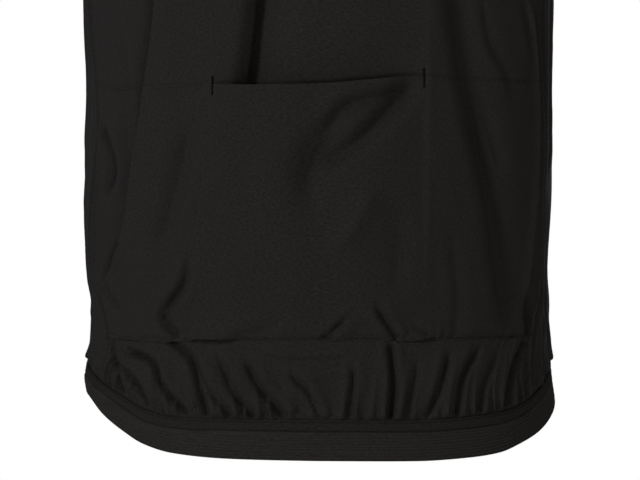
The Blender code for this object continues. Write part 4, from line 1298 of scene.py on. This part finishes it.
def mouth_drop(across, height, below):
    """How far the back lies back at the pocket's mouth, most of all along the lip."""
    lip = LIP_SHADOW * step_up(below, *LIP_SHADOW_RAMP) * (1 - step_up(below, *LIP_SHADOW_FADE))
    return MOUTH_RECESS * mouth_opening(across, height) + lip * mouth_width(across)


def back_proud(turn, height):
    """How far the back stands out, and how far its pleats lap."""
    across = across_at(turn, height)
    below = pocket_edge(across) - height
    under = step_up(below, -UNDER_POCKET_RAMP, 0)
    behind = step_up(below, 0, UNDER_POCKET_RAMP)
    long_pleat, long_lap = pleat_relief(across, height, LONG_PLEAT, LONG_PLEAT_SIZE)
    long_pleat = long_pleat * within_side(turn, height)
    upper_pleat, upper_lap = pleat_relief(across, height, UPPER_PLEAT, UPPER_PLEAT_SIZE)
    upper_pleat = upper_pleat * (1 - step_up(below, *UPPER_PLEAT_END))
    relief = back_relief(turn, height, LONG_CREASES, UPPER_CREASES)
    hidden = back_relief(turn, height, LONG_CREASES, POCKET_CREASES)
    mixed = relief * (1 - behind) + hidden * behind + long_pleat - BEHIND_POCKET * under
    near_top = 1 - step_up(height, *BACK_FLAT_TOP)
    drop = np.maximum(hidden_drop(turn, height, below), mouth_drop(across, height, below))
    return (mixed + upper_pleat) * near_top - drop, long_lap + upper_lap * (1 - behind)


def within_seams(turn, height, fractions):
    """Narrows or widens a grid's rows so that their ends lie just inside the side seams."""
    below_arm = height < ARMHOLE_BACK["height"][0] + 1e-6
    own = fractions * (side_seam(height, fractions) - SIDE_GAP_TURN)
    return np.where(below_arm, own, turn)


def make_back():
    """Upper back and, below the pocket's edge, the layer that lies behind the pocket."""
    right = yoke_fractions(SHOULDER_COLUMNS, FINE_BACK_COLUMNS)
    fractions = mirrored(right)
    turn = fractions * SIDE_SEAM_TURN
    top = pocket_edge(across_at(turn, POCKET_TOP["height"][0]))
    base = POCKET_SEAM + HALF_GAP
    turns = []
    heights = []
    for rise in step_up(np.linspace(0, 1, HIDDEN_ROWS), 0, 1):
        turns.append(turn)
        heights.append(base + rise * (top - base))
    high = ARMHOLE_BACK["height"][0]
    for rise in np.linspace(0, 1, MIDDLE_ROWS)[1:] ** MIDDLE_CROWDING:
        turns.append(turn)
        heights.append(top + rise * (high - top))
    for rise in yoke_rises(YOKE_ROWS):
        row_turn, row_height = yoke_row(right, rise, ARMHOLE_BACK, 0, ARMHOLE_BACK["turn"][0], True)
        turns.append(np.concatenate([-row_turn[:0:-1], row_turn]))
        heights.append(np.concatenate([row_height[:0:-1], row_height]))
    turn, height = np.array(turns), np.array(heights)
    turn = within_seams(turn, height, fractions)
    turn = follow_pleats(turn, height, (LONG_PLEAT, UPPER_PLEAT))
    proud, lap = back_proud(turn, height)
    return panel("vest_back", turn, height, proud, cloth_material, lap=lap)


def pocket_proud(turn, height):
    """How far the pocket stands out, and how far its pleat laps."""
    across = across_at(turn, height)
    pleat, lap = pleat_relief(across, height, LONG_PLEAT, LONG_PLEAT_SIZE)
    creased = back_relief(turn, height, LONG_CREASES, POCKET_CREASES)
    relief = creased + pleat * within_side(turn, height)
    from_seam = height - pocket_seam(across)
    puffed = SEAM_PUFF * bell(from_seam - SEAM_PUFF_UP, SEAM_PUFF_REACH)
    run = across / SEAM_PUCKER_LENGTH
    drift = SEAM_PUCKER_DRIFT * np.sin(SEAM_PUCKER_DRIFT_RATE * run)
    uneven = 1 - SEAM_PUCKER_UNEVEN + SEAM_PUCKER_UNEVEN * np.sin(SEAM_PUCKER_UNEVEN_RATE * run)
    swing = np.sin(2 * math.pi * run + drift) * uneven
    pucker = SEAM_PUCKER * swing * np.exp(-from_seam / SEAM_PUCKER_FADE)
    rolled = MOUTH_BULGE * mouth_opening(across, height) + POCKET_PROUD
    return rolled + relief + puffed + pucker, lap


def make_pocket():
    """Full-width outer layer, open along the middle of its top edge."""
    fractions = mirrored(yoke_fractions(SHOULDER_COLUMNS, FINE_POCKET_COLUMNS))
    rises = np.linspace(0, 1, POCKET_ROWS)
    turn = np.broadcast_to(fractions * SIDE_SEAM_TURN, (POCKET_ROWS, len(fractions)))
    across = across_at(turn, POCKET_TOP["height"][0])
    base = pocket_seam(across)
    height = base + rises[:, None] * (pocket_edge(across) - base)
    turn = within_seams(turn, height, fractions)
    turn = follow_pleats(turn, height, (LONG_PLEAT,))
    proud, lap = pocket_proud(turn, height)
    return panel("vest_pocket", turn, height, proud, cloth_material, lap=lap)


def tail_grid(places, rises):
    """Turns and heights of the strip below the pocket, whose columns fan out upward."""
    spread = 2 * places - 1
    base = band_top(spread * SIDE_SEAM_TURN)
    for _ in range(SEAM_ROUNDS):
        base = band_top(spread * side_seam(base, spread))
    base = base - TUCK
    height = base + rises[:, None] * (POCKET_SEAM + TUCK_UP - base)
    above = height - base - TUCK
    side = side_seam(height, spread) - SIDE_GAP_TURN
    turn = side * spread * (1 + GATHER_FAN * above * (1 - spread**2))
    return turn, height, above


def tail_proud(places, turn, height, above):
    relief = back_relief(turn, height, TAIL_CREASES)
    corner = step_up(np.abs(turn), *CORNER_TURNS)
    fade = GATHER_FADE + (CORNER_GATHER_FADE - GATHER_FADE) * corner
    waves = gathers(np.broadcast_to(places, turn.shape), above, BACK_GATHERS, fade)
    free_of_band = step_up(above, *TUCK_RAMP)
    free_of_seam = step_up(pocket_seam(across_at(turn, height)) - height, *TUCK_UP_RAMP)
    tucked = TUCK_DEPTH * (1 - free_of_band) + TUCK_UP_DEPTH * (1 - free_of_seam)
    left = CREASES_LEFT_AT_SEAM + (1 - CREASES_LEFT_AT_SEAM) * free_of_seam
    return (relief * left + waves) * free_of_band - tucked


def make_tail():
    """Strip between the pocket's bottom seam and the elastic, which gathers it."""
    places = np.linspace(0, 1, TAIL_COLUMNS + 1)
    rises = np.linspace(0, 1, TAIL_ROWS)
    turn, height, above = tail_grid(places, rises)
    proud = tail_proud(places, turn, height, above)
    return panel("vest_tail", turn, height, proud, cloth_material)


def armhole_bottom(turn):
    """Height of a front's edge under the arm, and of the level line on from there."""
    own = slice(0, FRONT_CORNER_STEP + 1)
    return smooth(np.abs(turn), ARMHOLE_FRONT["turn"][own], ARMHOLE_FRONT["height"][own])


def under_arm(height):
    """1 below the arm, where a side seam runs, and 0 at the armhole's edge."""
    return step_up(ARMHOLE_BACK["height"][0] - height, *UNDER_ARM_RAMP)


def front_places():
    """Places of a front's columns from the side seam (0) to the zip (1), and of its corner."""
    corner_turn = ARMHOLE_FRONT["turn"][FRONT_CORNER_STEP]
    corner = (corner_turn - SIDE_SEAM_TURN) / (180 - SIDE_SEAM_TURN)
    under = np.linspace(0, corner, UNDERARM_COLUMNS * FINE_FRONT_COLUMNS + 1)[:-1]
    inner = 1 - yoke_fractions(FRONT_SHOULDER_COLUMNS, FINE_FRONT_COLUMNS)[::-1] * (1 - corner)
    return np.concatenate([under, inner]), len(under)


def front_proud(places, turn, height, above, sign):
    waves = gathers(places, above, FRONT_GATHERS, 2 * GATHER_FADE)
    free = step_up(above, *TUCK_RAMP)
    tucked = TUCK_DEPTH * (1 - free) * (1 - step_up(places, *TUCK_ENDS))
    from_side = turn - side_seam(height, sign)
    tucked = tucked + SIDE_TUCK * under_arm(height) * (1 - step_up(from_side, *SIDE_TUCK_RAMP))
    return (front_relief(turn, height, sign) + waves) * free - tucked


def lower_front(sign, places):
    """Turns, heights and relief of a front up to the level of its armhole's corner."""
    turn = SIDE_SEAM_TURN + places * (180 - SIDE_SEAM_TURN)
    top = armhole_bottom(turn)
    base = band_top(sign * turn)
    for _ in range(SEAM_ROUNDS):
        side = side_seam(base, sign)
        base = band_top(sign * (side + places * (180 - side)))
    tuck = TUCK * (1 - step_up(places, *TUCK_ENDS))
    base = base - tuck
    rises = np.linspace(0, 1, FRONT_ROWS)[:, None] ** FRONT_CROWDING
    height = base + rises * (top - base)
    above = height - base - tuck
    side = side_seam(height, sign) - SIDE_TUCK_TURN * under_arm(height)
    turn = np.minimum(side + places * (180 - side), 180 - zip_turn(height))
    proud = front_proud(np.broadcast_to(places, turn.shape), turn, height, above, sign)
    return turn, height, proud


def upper_front(sign, first_turn, first_height):
    """The same from there up to the shoulder, on from a first row."""
    fractions = yoke_fractions(FRONT_SHOULDER_COLUMNS, FINE_FRONT_COLUMNS)
    corner_turn = 180 - ARMHOLE_FRONT["turn"][FRONT_CORNER_STEP]
    turns = [first_turn]
    heights = [first_height]
    for rise in yoke_rises(FRONT_YOKE_ROWS):
        row = yoke_row(fractions, rise, ARMHOLE_FRONT, FRONT_CORNER_STEP, corner_turn, False)
        turns.append(row[0][::-1])
        heights.append(row[1][::-1])
    turn, height = np.array(turns), np.array(heights)
    return turn, height, front_relief(turn, height, sign)


def make_front(name, sign):
    """One front, from its side seam behind the arm round to the zip."""
    places, under = front_places()
    lower = lower_front(sign, places)
    upper = upper_front(sign, lower[0][-1, under:], lower[1][-1, under:])
    return front_wall(name, sign, lower, upper, under)


def front_wall(name, sign, lower, upper, under):
    """The wall of a front, whose upper grid stands on part of its lower grid's top row."""
    parts = []
    for turn, height, proud in (lower, upper):
        points = body(sign * turn, height, proud)
        at_rim = body_normals(sign * turn, height)
        parts.append((points, grid_normals(points) * sign, at_rim, cloth_places(sign * turn, height)))
    outer, outward, at_rim, cloth = (
        np.concatenate([low.reshape(-1, 3), high[1:].reshape(-1, 3)]) for low, high in zip(*parts)
    )
    low_index = np.arange(lower[0].size).reshape(lower[0].shape)
    rows, columns = upper[0].shape
    rest = low_index.size + np.arange((rows - 1) * columns).reshape(rows - 1, columns)
    high_index = np.concatenate([low_index[-1:, under:], rest])
    edges = (
        low_index[0, :-1],
        low_index[:-1, -1],
        high_index[:-1, -1],
        high_index[-1, :0:-1],
        high_index[:0:-1, 0],
        low_index[-1, under:0:-1],
        low_index[:0:-1, 0],
    )
    loop = np.concatenate(edges)
    joint = low_index[-1, under + 1 : -1]
    for place in (loop, joint):
        outward[place] = at_rim[place]
    quads = np.concatenate([grid_quads(low_index), grid_quads(high_index)])
    depth = outward * CLOTH
    return closed_wall(name, outer, depth, cloth, quads, loop, cloth_material, sign < 0)


def band_relief(rise_height, top):
    """Fine ribs along the elastic, flatter in the stitched strip at its top."""
    strip = top - STITCHED_STRIP
    ribs = RIB_DEPTH * np.cos(2 * math.pi * rise_height / RIB_PITCH)
    in_strip = step_up(rise_height, strip - STRIP_RAMP, strip)
    groove = STRIP_GROOVE * bell(rise_height - strip, STRIP_EDGE)
    return ribs * (1 - STRIP_RIBS * in_strip) - STRIP_DIP * in_strip - groove


def make_band():
    """Wide elastic all round the hem, with its two ends at the zip."""
    turn = np.broadcast_to(np.linspace(-180, 180, BAND_COLUMNS + 1), (BAND_ROWS, BAND_COLUMNS + 1))
    low = hem_height(turn)
    tall = band_top(turn) - HALF_GAP - low
    rises = np.linspace(0, 1, BAND_ROWS)[:, None]
    height = low + rises * tall
    inside = np.clip(turn, zip_turn(height) - 180, 180 - zip_turn(height))
    ends = 1 - step_up(np.abs(turn), *BAND_PLAIN_ENDS)
    proud = BAND_PROUD + band_relief(rises * tall, tall) * ends
    above_strip = rises * tall - (tall - STITCHED_STRIP)
    strip = step_up(above_strip, -STRIP_EDGE, STRIP_EDGE)
    return panel(
        "vest_hem_band", inside, height, proud, elastic_material, ELASTIC, strip=strip
    )


# Collar, bindings and zip -------------------------------------------------------------------


def neckline(angle):
    """Points of the neckline at angles round it: 0 at the back and half a turn at the zip."""
    across = NECK_HALF * np.sin(angle)
    back = np.cos(angle) > 0
    height = np.where(back, top_height(across, True), top_height(across, False))
    turn = np.sign(across) * turn_at(across, section(height)["right"])
    turn = np.where(back, turn, np.where(across < 0, -180, 180) - turn)
    return body(turn, height)


def collar_top(angle):
    """Points of the collar's top edge at the same angles."""
    across = COLLAR_TOP_HALF * np.sin(angle)
    forward = (1 - np.cos(angle)) / 2
    y, height = (
        low + forward * (high - low) for low, high in zip(COLLAR_TOP_BACK, COLLAR_TOP_FRONT)
    )
    return np.stack([-across, y, height], axis=-1)


def make_collar():
    """Stand-up collar, folded over along its top edge."""
    low_end = math.pi - math.asin(ZIP_HALF / NECK_HALF)
    high_end = math.pi - math.asin(ZIP_HALF / COLLAR_TOP_HALF)
    low = neckline(np.linspace(-low_end, low_end, COLLAR_COLUMNS))
    low[:, :2] *= 1 - SEAM_GAP / NECK_HALF
    low[:, 2] += SEAM_GAP
    high = collar_top(np.linspace(-high_end, high_end, COLLAR_COLUMNS))
    climb = high - low
    out = unit(np.cross(np.gradient(low, axis=0), climb))
    half = COLLAR_CLOTH / 2
    round_top = half / np.linalg.norm(climb, axis=1, keepdims=True)
    under = np.array([0, 0, -COLLAR_TUCK])
    lines = [low + under - out * (half + COLLAR_TUCK_IN), low - out * COLLAR_TUCK_IN]
    along = np.arange(COLLAR_COLUMNS)[:, None]
    for rise in np.linspace(0, 1, COLLAR_RISES):
        wave = COLLAR_WAVE * math.sin(math.pi * rise) * np.sin(along * COLLAR_WAVE_RATE)
        lines.append(low + rise * climb * (1 - round_top) + out * wave)
    for angle in range(BOW_STEP, 180, BOW_STEP):
        turned = math.radians(angle)
        over = climb * (1 - round_top) + climb * round_top * math.sin(turned)
        lines.append(low + over - out * half * (1 - math.cos(turned)))
    for rise in np.linspace(1, 0, COLLAR_RISES):
        lines.append(low + rise * climb * (1 - round_top) - out * COLLAR_CLOTH)
    lines.append(low + under - out * COLLAR_CLOTH)
    return sweep("vest_collar", lines, False, cloth_material)


def armhole_loop(sign):
    """Turns and heights round one armhole: up the back's edge, then down the front's."""
    rises = 1 - (1 - np.linspace(0, 1, ARMHOLE_SAMPLES)) ** ARMHOLE_CROWDING
    back = rises * ARMHOLE_BACK["step"][-1]
    front = FRONT_CORNER_STEP + rises * (ARMHOLE_FRONT["step"][-1] - FRONT_CORNER_STEP)
    front = front[-2::-1]
    corner_turn = ARMHOLE_FRONT["turn"][FRONT_CORNER_STEP]
    under = np.linspace(corner_turn, SIDE_SEAM_TURN, UNDERARM_SAMPLES)[1:-1]
    turns = (read(ARMHOLE_BACK, "turn", back), read(ARMHOLE_FRONT, "turn", front), under)
    heights = (
        read(ARMHOLE_BACK, "height", back),
        read(ARMHOLE_FRONT, "height", front),
        armhole_bottom(under),
    )
    return sign * np.concatenate(turns), np.concatenate(heights)


def binding_frame(sign):
    """Edge points, outward directions and directions into the armhole."""
    turn, height = armhole_loop(sign)
    edge = body(turn, height)
    normal = body_normals(turn, height)
    for _ in range(BINDING_ROUNDS):
        normal = (np.roll(normal, 1, axis=0) + normal + np.roll(normal, -1, axis=0)) / 3
    normal = unit(normal)
    along = np.roll(edge, -2, axis=0) - np.roll(edge, 2, axis=0)
    inward = unit(np.cross(along, normal) * sign)
    return edge, normal, inward


def make_binding(name, sign):
    """Elastic strip folded round the edge of one armhole."""
    edge, normal, inward = binding_frame(sign)
    thick = (BINDING_OUT + BINDING_IN) / 2
    middle = (BINDING_OUT - BINDING_IN) / 2
    fold = BINDING_GAP + BINDING_WIDTH - thick
    profile = [
        (BINDING_GAP, BINDING_OUT),
        (BINDING_GAP + BINDING_EDGE, BINDING_OUT + BINDING_CROWN[0]),
        (fold - BINDING_BEFORE_FOLD, BINDING_OUT + BINDING_CROWN[1]),
    ]
    for angle in range(90, -91, -BOW_STEP):
        turned = math.radians(angle)
        profile.append((fold + thick * math.cos(turned), middle + thick * math.sin(turned)))
    profile.append((BINDING_GAP, -BINDING_IN))
    lines = [edge + inward * reach + normal * out for reach, out in profile]
    return sweep(name, lines, True, binding_material)


ZIP_ROWS = 150
COLLAR_ZIP_ROWS = 14
TAPE_SLIT = 0.0003
TAPE_CROWN_HALF = 0.0030
TAPE_CROWN = 0.0001
TAPE_UNDER = 0.0016
TAPE_TOP = 0.0007
TAPE_LOW = 0.0012
TOOTH_PITCH = 0.00145
TOOTH_STATIONS = ((-0.0004, 1.0), (0.0008, 1.0), (0.0023, 1.0), (0.0027, 0.75))
TOOTH_SECTION = ((-1.0, 0.2), (-0.7, 0.75), (0.0, 1.0), (0.7, 0.75), (1.0, 0.2), (0.0, -0.1))
TOOTH_HALF = 0.0003456
TOOTH_BASE = 0.0002
TOOTH_TALL = 0.0010


def zip_path(count):
    """Points up the middle of the front and of the collar, and the outward directions."""
    low = hem_height(180.0)
    neck = top_height(0.0, False)
    heights = np.linspace(low, neck, count)
    front = body(180.0 + 0 * heights, heights)
    front[:, 0] = 0
    top = collar_top(math.pi)
    rises = np.linspace(0, 1, COLLAR_ZIP_ROWS)[1:, None]
    path = np.concatenate([front, front[-1] + rises * (top - front[-1])])
    path[:, 0] = 0
    along = np.gradient(path, axis=0)
    return path, unit(np.cross(along, (-1, 0, 0)))


def make_zip_tape():
    """The two tapes of the closed zip, with a flange on each that lies under the fronts."""
    path, outward = zip_path(ZIP_ROWS)
    half = ZIP_HALF - SEAM_GAP
    under = ZIP_HALF + TAPE_UNDER
    profile = (
        (-half, 0),
        (-TAPE_CROWN_HALF, TAPE_CROWN),
        (-TAPE_SLIT, TAPE_CROWN),
        (TAPE_SLIT, TAPE_CROWN),
        (TAPE_CROWN_HALF, TAPE_CROWN),
        (half, 0),
        (half, -TAPE_TOP),
        (under, -TAPE_TOP),
        (under, -TAPE_LOW),
        (-under, -TAPE_LOW),
        (-under, -TAPE_TOP),
        (-half, -TAPE_TOP),
    )
    lines = [path + outward * proud + np.array([x, 0, 0]) for x, proud in profile]
    return sweep("vest_zip_tape", lines, False, tape_material)


def make_zip_teeth():
    """The teeth of the zip's chain. Each station along a tooth has its reach and its taper."""
    path, outward = zip_path(ZIP_ROWS)
    at, run = even_places(path, TOOTH_PITCH)
    outs = unit(read_line(outward, run, at))
    points = []
    faces = []
    for centre, out in zip(read_line(path, run, at), outs):
        along = np.cross((1, 0, 0), out)
        for side in (-1, 1):
            own = tube_faces(len(points), len(TOOTH_STATIONS), len(TOOTH_SECTION))
            faces += [face[::-1] for face in own] if side > 0 else own
            for reach, taper in TOOTH_STATIONS:
                middle = centre + along * TOOTH_PITCH / 4 * side + np.array([side * reach, 0, 0])
                for wide, up in TOOTH_SECTION:
                    lift = (TOOTH_BASE + TOOTH_TALL * up * taper) * out
                    points.append(middle + along * wide * TOOTH_HALF * taper + lift)
    return make_object("vest_zip_teeth", points, faces, plastic_material)


# Sewing on the pieces -----------------------------------------------------------------------

HEM_STITCH_ROWS = (0.0016, 0.0080)
HEM_STITCHED_TO = 178.5
HEM_STITCH_LIFT = 0.00005
HEM_SAMPLES = 900
SEAM_SAMPLES = 700
MOUTH_SIDE_SAMPLES = 260
POCKET_STITCH_IN = 0.0016
POCKET_STITCH_SUNK = 0.00010
POCKET_STITCHED_TO = 60.5
MOUTH_TURN = 25.0
TACK_PLACES = ((-0.0798, -0.4160), (0.0798, -0.4104))
TACK_TALL = 0.0140
TACK_HALF = 0.00080
TACK_THREADS = 34
TACK_END_THREADS = 3
TACK_END_WIDER = 1.25
TACK_SLANT = 0.0002
TACK_THREAD = 0.00022
TACK_LIFT = 0.0003
FRONT_STITCH_IN = 0.0032
FRONT_STITCH_SUNK = 0.00004
FRONT_STITCH_ENDS = (0.005, 0.004)
FRONT_STITCH_TOP_ACROSS = 0.012
FRONT_STITCH_PLACE = 0.99
BINDING_STITCH_IN = 0.0018
BINDING_STITCH_LIFT = 0.00025


def line_on_body(turn, height, proud):
    """A line on the cloth and its outward directions."""
    return body(turn, height, proud), body_normals(turn, height)


def sew_hem_band():
    """Two rows of stitches that hold the cloth on the elastic, all round."""
    made = []
    turn = np.linspace(-HEM_STITCHED_TO, HEM_STITCHED_TO, HEM_SAMPLES)
    tall = band_top(turn) - HALF_GAP - hem_height(turn)
    for number, below in enumerate(HEM_STITCH_ROWS, start=1):
        rise_height = tall - below
        proud = BAND_PROUD + band_relief(rise_height, tall) + HEM_STITCH_LIFT
        line, outs = line_on_body(turn, hem_height(turn) + rise_height, proud)
        made.append(stitch_line("stitch_hem_%d" % number, line, outs, HEM_STITCH))
    return made


def sew_pocket():
    """Topstitching along the pocket's bottom seam, and along its top edge beside the mouth."""
    whole = np.linspace(-POCKET_STITCHED_TO, POCKET_STITCHED_TO, SEAM_SAMPLES)
    left = np.linspace(-POCKET_STITCHED_TO, -MOUTH_TURN, MOUTH_SIDE_SAMPLES)
    made = []
    for name, turn, low in (
        ("stitch_pocket_seam", whole, True),
        ("stitch_pocket_top_left", left, False),
        ("stitch_pocket_top_right", -left[::-1], False),
    ):
        edge = pocket_edge(across_at(turn, POCKET_TOP["height"][0]))
        seam = pocket_seam(across_at(turn, POCKET_SEAM))
        height = seam + POCKET_STITCH_IN if low else edge - POCKET_STITCH_IN
        line, outs = line_on_body(turn, height, pocket_proud(turn, height)[0] - POCKET_STITCH_SUNK)
        made.append(stitch_line(name, line, outs, POCKET_STITCH))
    return made


def tack_proud(turn, height):
    """Where the cloth lies under a bar tack, on the pocket or just above it."""
    on_pocket = pocket_edge(across_at(turn, height)) > height
    above = back_proud(turn, height)[0] + TACK_LIFT
    return np.where(on_pocket, pocket_proud(turn, height)[0], above)


def sew_bar_tacks():
    """Dense thread bars across the pocket's edge at both ends of its mouth."""
    made = []
    for name, (across, middle) in zip(("bartack_left", "bartack_right"), TACK_PLACES):
        starts, ends, outs = [], [], []
        for k, height in enumerate(middle + TACK_TALL * np.linspace(-0.5, 0.5, TACK_THREADS)):
            from_end = min(k, TACK_THREADS - 1 - k)
            wide = TACK_HALF * (TACK_END_WIDER if from_end < TACK_END_THREADS else 1)
            half = section(height)["left" if across < 0 else "right"]
            turns = [math.copysign(turn_at(across + side * wide, half), across) for side in (-1, 1)]
            turn, level = np.array(turns), np.array([height, height + TACK_SLANT])
            start, end = body(turn, level, tack_proud(turn, level))
            starts.append(start)
            ends.append(end)
            outs.append(body_normals(turn[:1], level[:1])[0])
        points, faces = thread_run(starts, ends, outs, TACK_THREAD)
        made.append(make_object(name, points, faces, thread_material))
    return made


def sew_front_edges():
    """Topstitching beside the zip on both fronts."""
    made = []
    bottom = band_top(180.0)
    top = top_height(FRONT_STITCH_TOP_ACROSS, False)
    height = np.linspace(bottom + FRONT_STITCH_ENDS[0], top - FRONT_STITCH_ENDS[1], SEAM_SAMPLES)
    turn = 180 - turn_at(ZIP_HALF + FRONT_STITCH_IN, section(height)["right"])
    for name, sign in (("stitch_front_left", -1), ("stitch_front_right", 1)):
        proud = front_proud(0 * height + FRONT_STITCH_PLACE, turn, height, height - bottom, sign)
        line, outs = line_on_body(sign * turn, height, proud - FRONT_STITCH_SUNK)
        made.append(stitch_line(name, line, outs))
    return made


def sew_bindings():
    """Stitches along both bindings, beside the panels."""
    made = []
    reach = BINDING_GAP + BINDING_STITCH_IN
    for name, sign in (("stitch_armhole_left", -1), ("stitch_armhole_right", 1)):
        edge, normal, inward = binding_frame(sign)
        line = edge + inward * reach + normal * (BINDING_OUT + BINDING_STITCH_LIFT)
        made.append(stitch_line(name, line, normal))
    return made


# Build --------------------------------------------------------------------------------------

back = make_back()
pocket = make_pocket()
tail = make_tail()
fronts = [make_front("vest_front_left", -1), make_front("vest_front_right", 1)]
band = make_band()
collar = make_collar()
bindings = [make_binding("vest_binding_left", -1), make_binding("vest_binding_right", 1)]
zip_tape = make_zip_tape()
zip_teeth = make_zip_teeth()
hem_stitches = sew_hem_band()
pocket_stitches = sew_pocket()
tacks = sew_bar_tacks()
front_stitches = sew_front_edges()
binding_stitches = sew_bindings()

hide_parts("back")
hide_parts("back_pocket")
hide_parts("back_tail")
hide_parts("front_left")
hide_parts("front_right")
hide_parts("hem_band")
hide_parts("collar")
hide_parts("binding_left")
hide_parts("binding_right")
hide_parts("zip_tape")

for node in ("zip_slider", "zip_pull"):
    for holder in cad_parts[node].material_slots:
        holder.material = metal_material


# Stage --------------------------------------------------------------------------------------

FLOOR_HEIGHT = -1.32
FLOOR_SIZE = 15.0
FLOOR_TONE = (0.80, 0.80, 0.79, 1)
FLOOR_ROUGHNESS = 0.9
CAMERA_PLACE = (-0.0014, 2.6, -0.533)
CAMERA_TURN = (90.0, 0.0, 180.0)
CAMERA_LENS = 185.0
SENSOR = 36.0
SKY_WHITE = 1.0
SKY_DIM = 0.05
SKY_TOP = 0.9
SKY_TOP_START = (0.70, 0.80)
SKY_RING = (0.085, 0.15)
WHITE = (1.0, 1.0, 1.0)
WARM = (1.0, 0.93, 0.82)
LIGHTS_AIM = (0.0, 0.0, -0.45)

# Each light has its place, its width and height, its power and its colour.
LIGHTS = (
    ("key", (2.1, 2.1, 0.35), (0.9, 1.4), 48.0, WHITE),
    ("fill", (-1.2, 2.7, 0.20), (0.9, 1.4), 10.0, WARM),
    ("front", (-1.8, -2.3, 0.4), (0.8, 1.4), 26.0, WHITE),
)


def add_object(name, data):
    made = bpy.data.objects.new(name, data)
    bpy.context.scene.collection.objects.link(made)
    return made


def make_floor():
    """A plain pale floor, well below the vest, which hangs as it is worn."""
    mesh = bpy.data.meshes.new("floor")
    half = FLOOR_SIZE / 2
    corners = [(x * half, y * half, FLOOR_HEIGHT) for x, y in ((-1, -1), (1, -1), (1, 1), (-1, 1))]
    mesh.from_pydata(corners, [], [(0, 1, 2, 3)])
    floor = add_object("floor", mesh)
    material, tree, shader = new_material("floor")
    feed(tree, shader, {"Base Color": FLOOR_TONE, "Roughness": FLOOR_ROUGHNESS})
    mesh.materials.append(material)


def make_light(name, place, size, power, colour):
    light = bpy.data.lights.new(name, "AREA")
    light.shape = "RECTANGLE"
    light.size, light.size_y = size
    light.energy = power
    light.color = colour
    lamp = add_object(name, light)
    lamp.location = place
    aim = Vector(LIGHTS_AIM) - Vector(place)
    lamp.rotation_euler = aim.to_track_quat("-Z", "Y").to_euler()


def make_camera():
    camera = bpy.data.cameras.new("camera")
    camera.lens = CAMERA_LENS
    camera.sensor_width = SENSOR
    holder = add_object("camera", camera)
    holder.location = CAMERA_PLACE
    holder.rotation_euler = [math.radians(angle) for angle in CAMERA_TURN]
    bpy.context.scene.camera = holder


def make_world():
    """A white ring round the horizon, dim above and below it, and bright overhead."""
    world = bpy.data.worlds.new("studio")
    world.use_nodes = True
    tree = world.node_tree
    place = add_node(tree, "TexCoord", {}).outputs["Generated"]
    up = add_node(tree, "SeparateXYZ", {0: place}).outputs["Z"]
    level = math_node(tree, "ABSOLUTE", up)
    soft = {"interpolation_type": "SMOOTHSTEP"}
    ring = ramp(tree, level, *SKY_RING, SKY_WHITE, SKY_DIM, **soft)
    top = ramp(tree, up, *SKY_TOP_START, 0.0, SKY_TOP, **soft)
    sky = {"Color": (*WHITE, 1), "Strength": math_node(tree, "ADD", ring, top)}
    feed(tree, tree.nodes["Background"], sky)
    bpy.context.scene.world = world


make_floor()
make_camera()
make_world()
for light in LIGHTS:
    make_light(*light)
bpy.context.scene.view_settings.view_transform = "Standard"
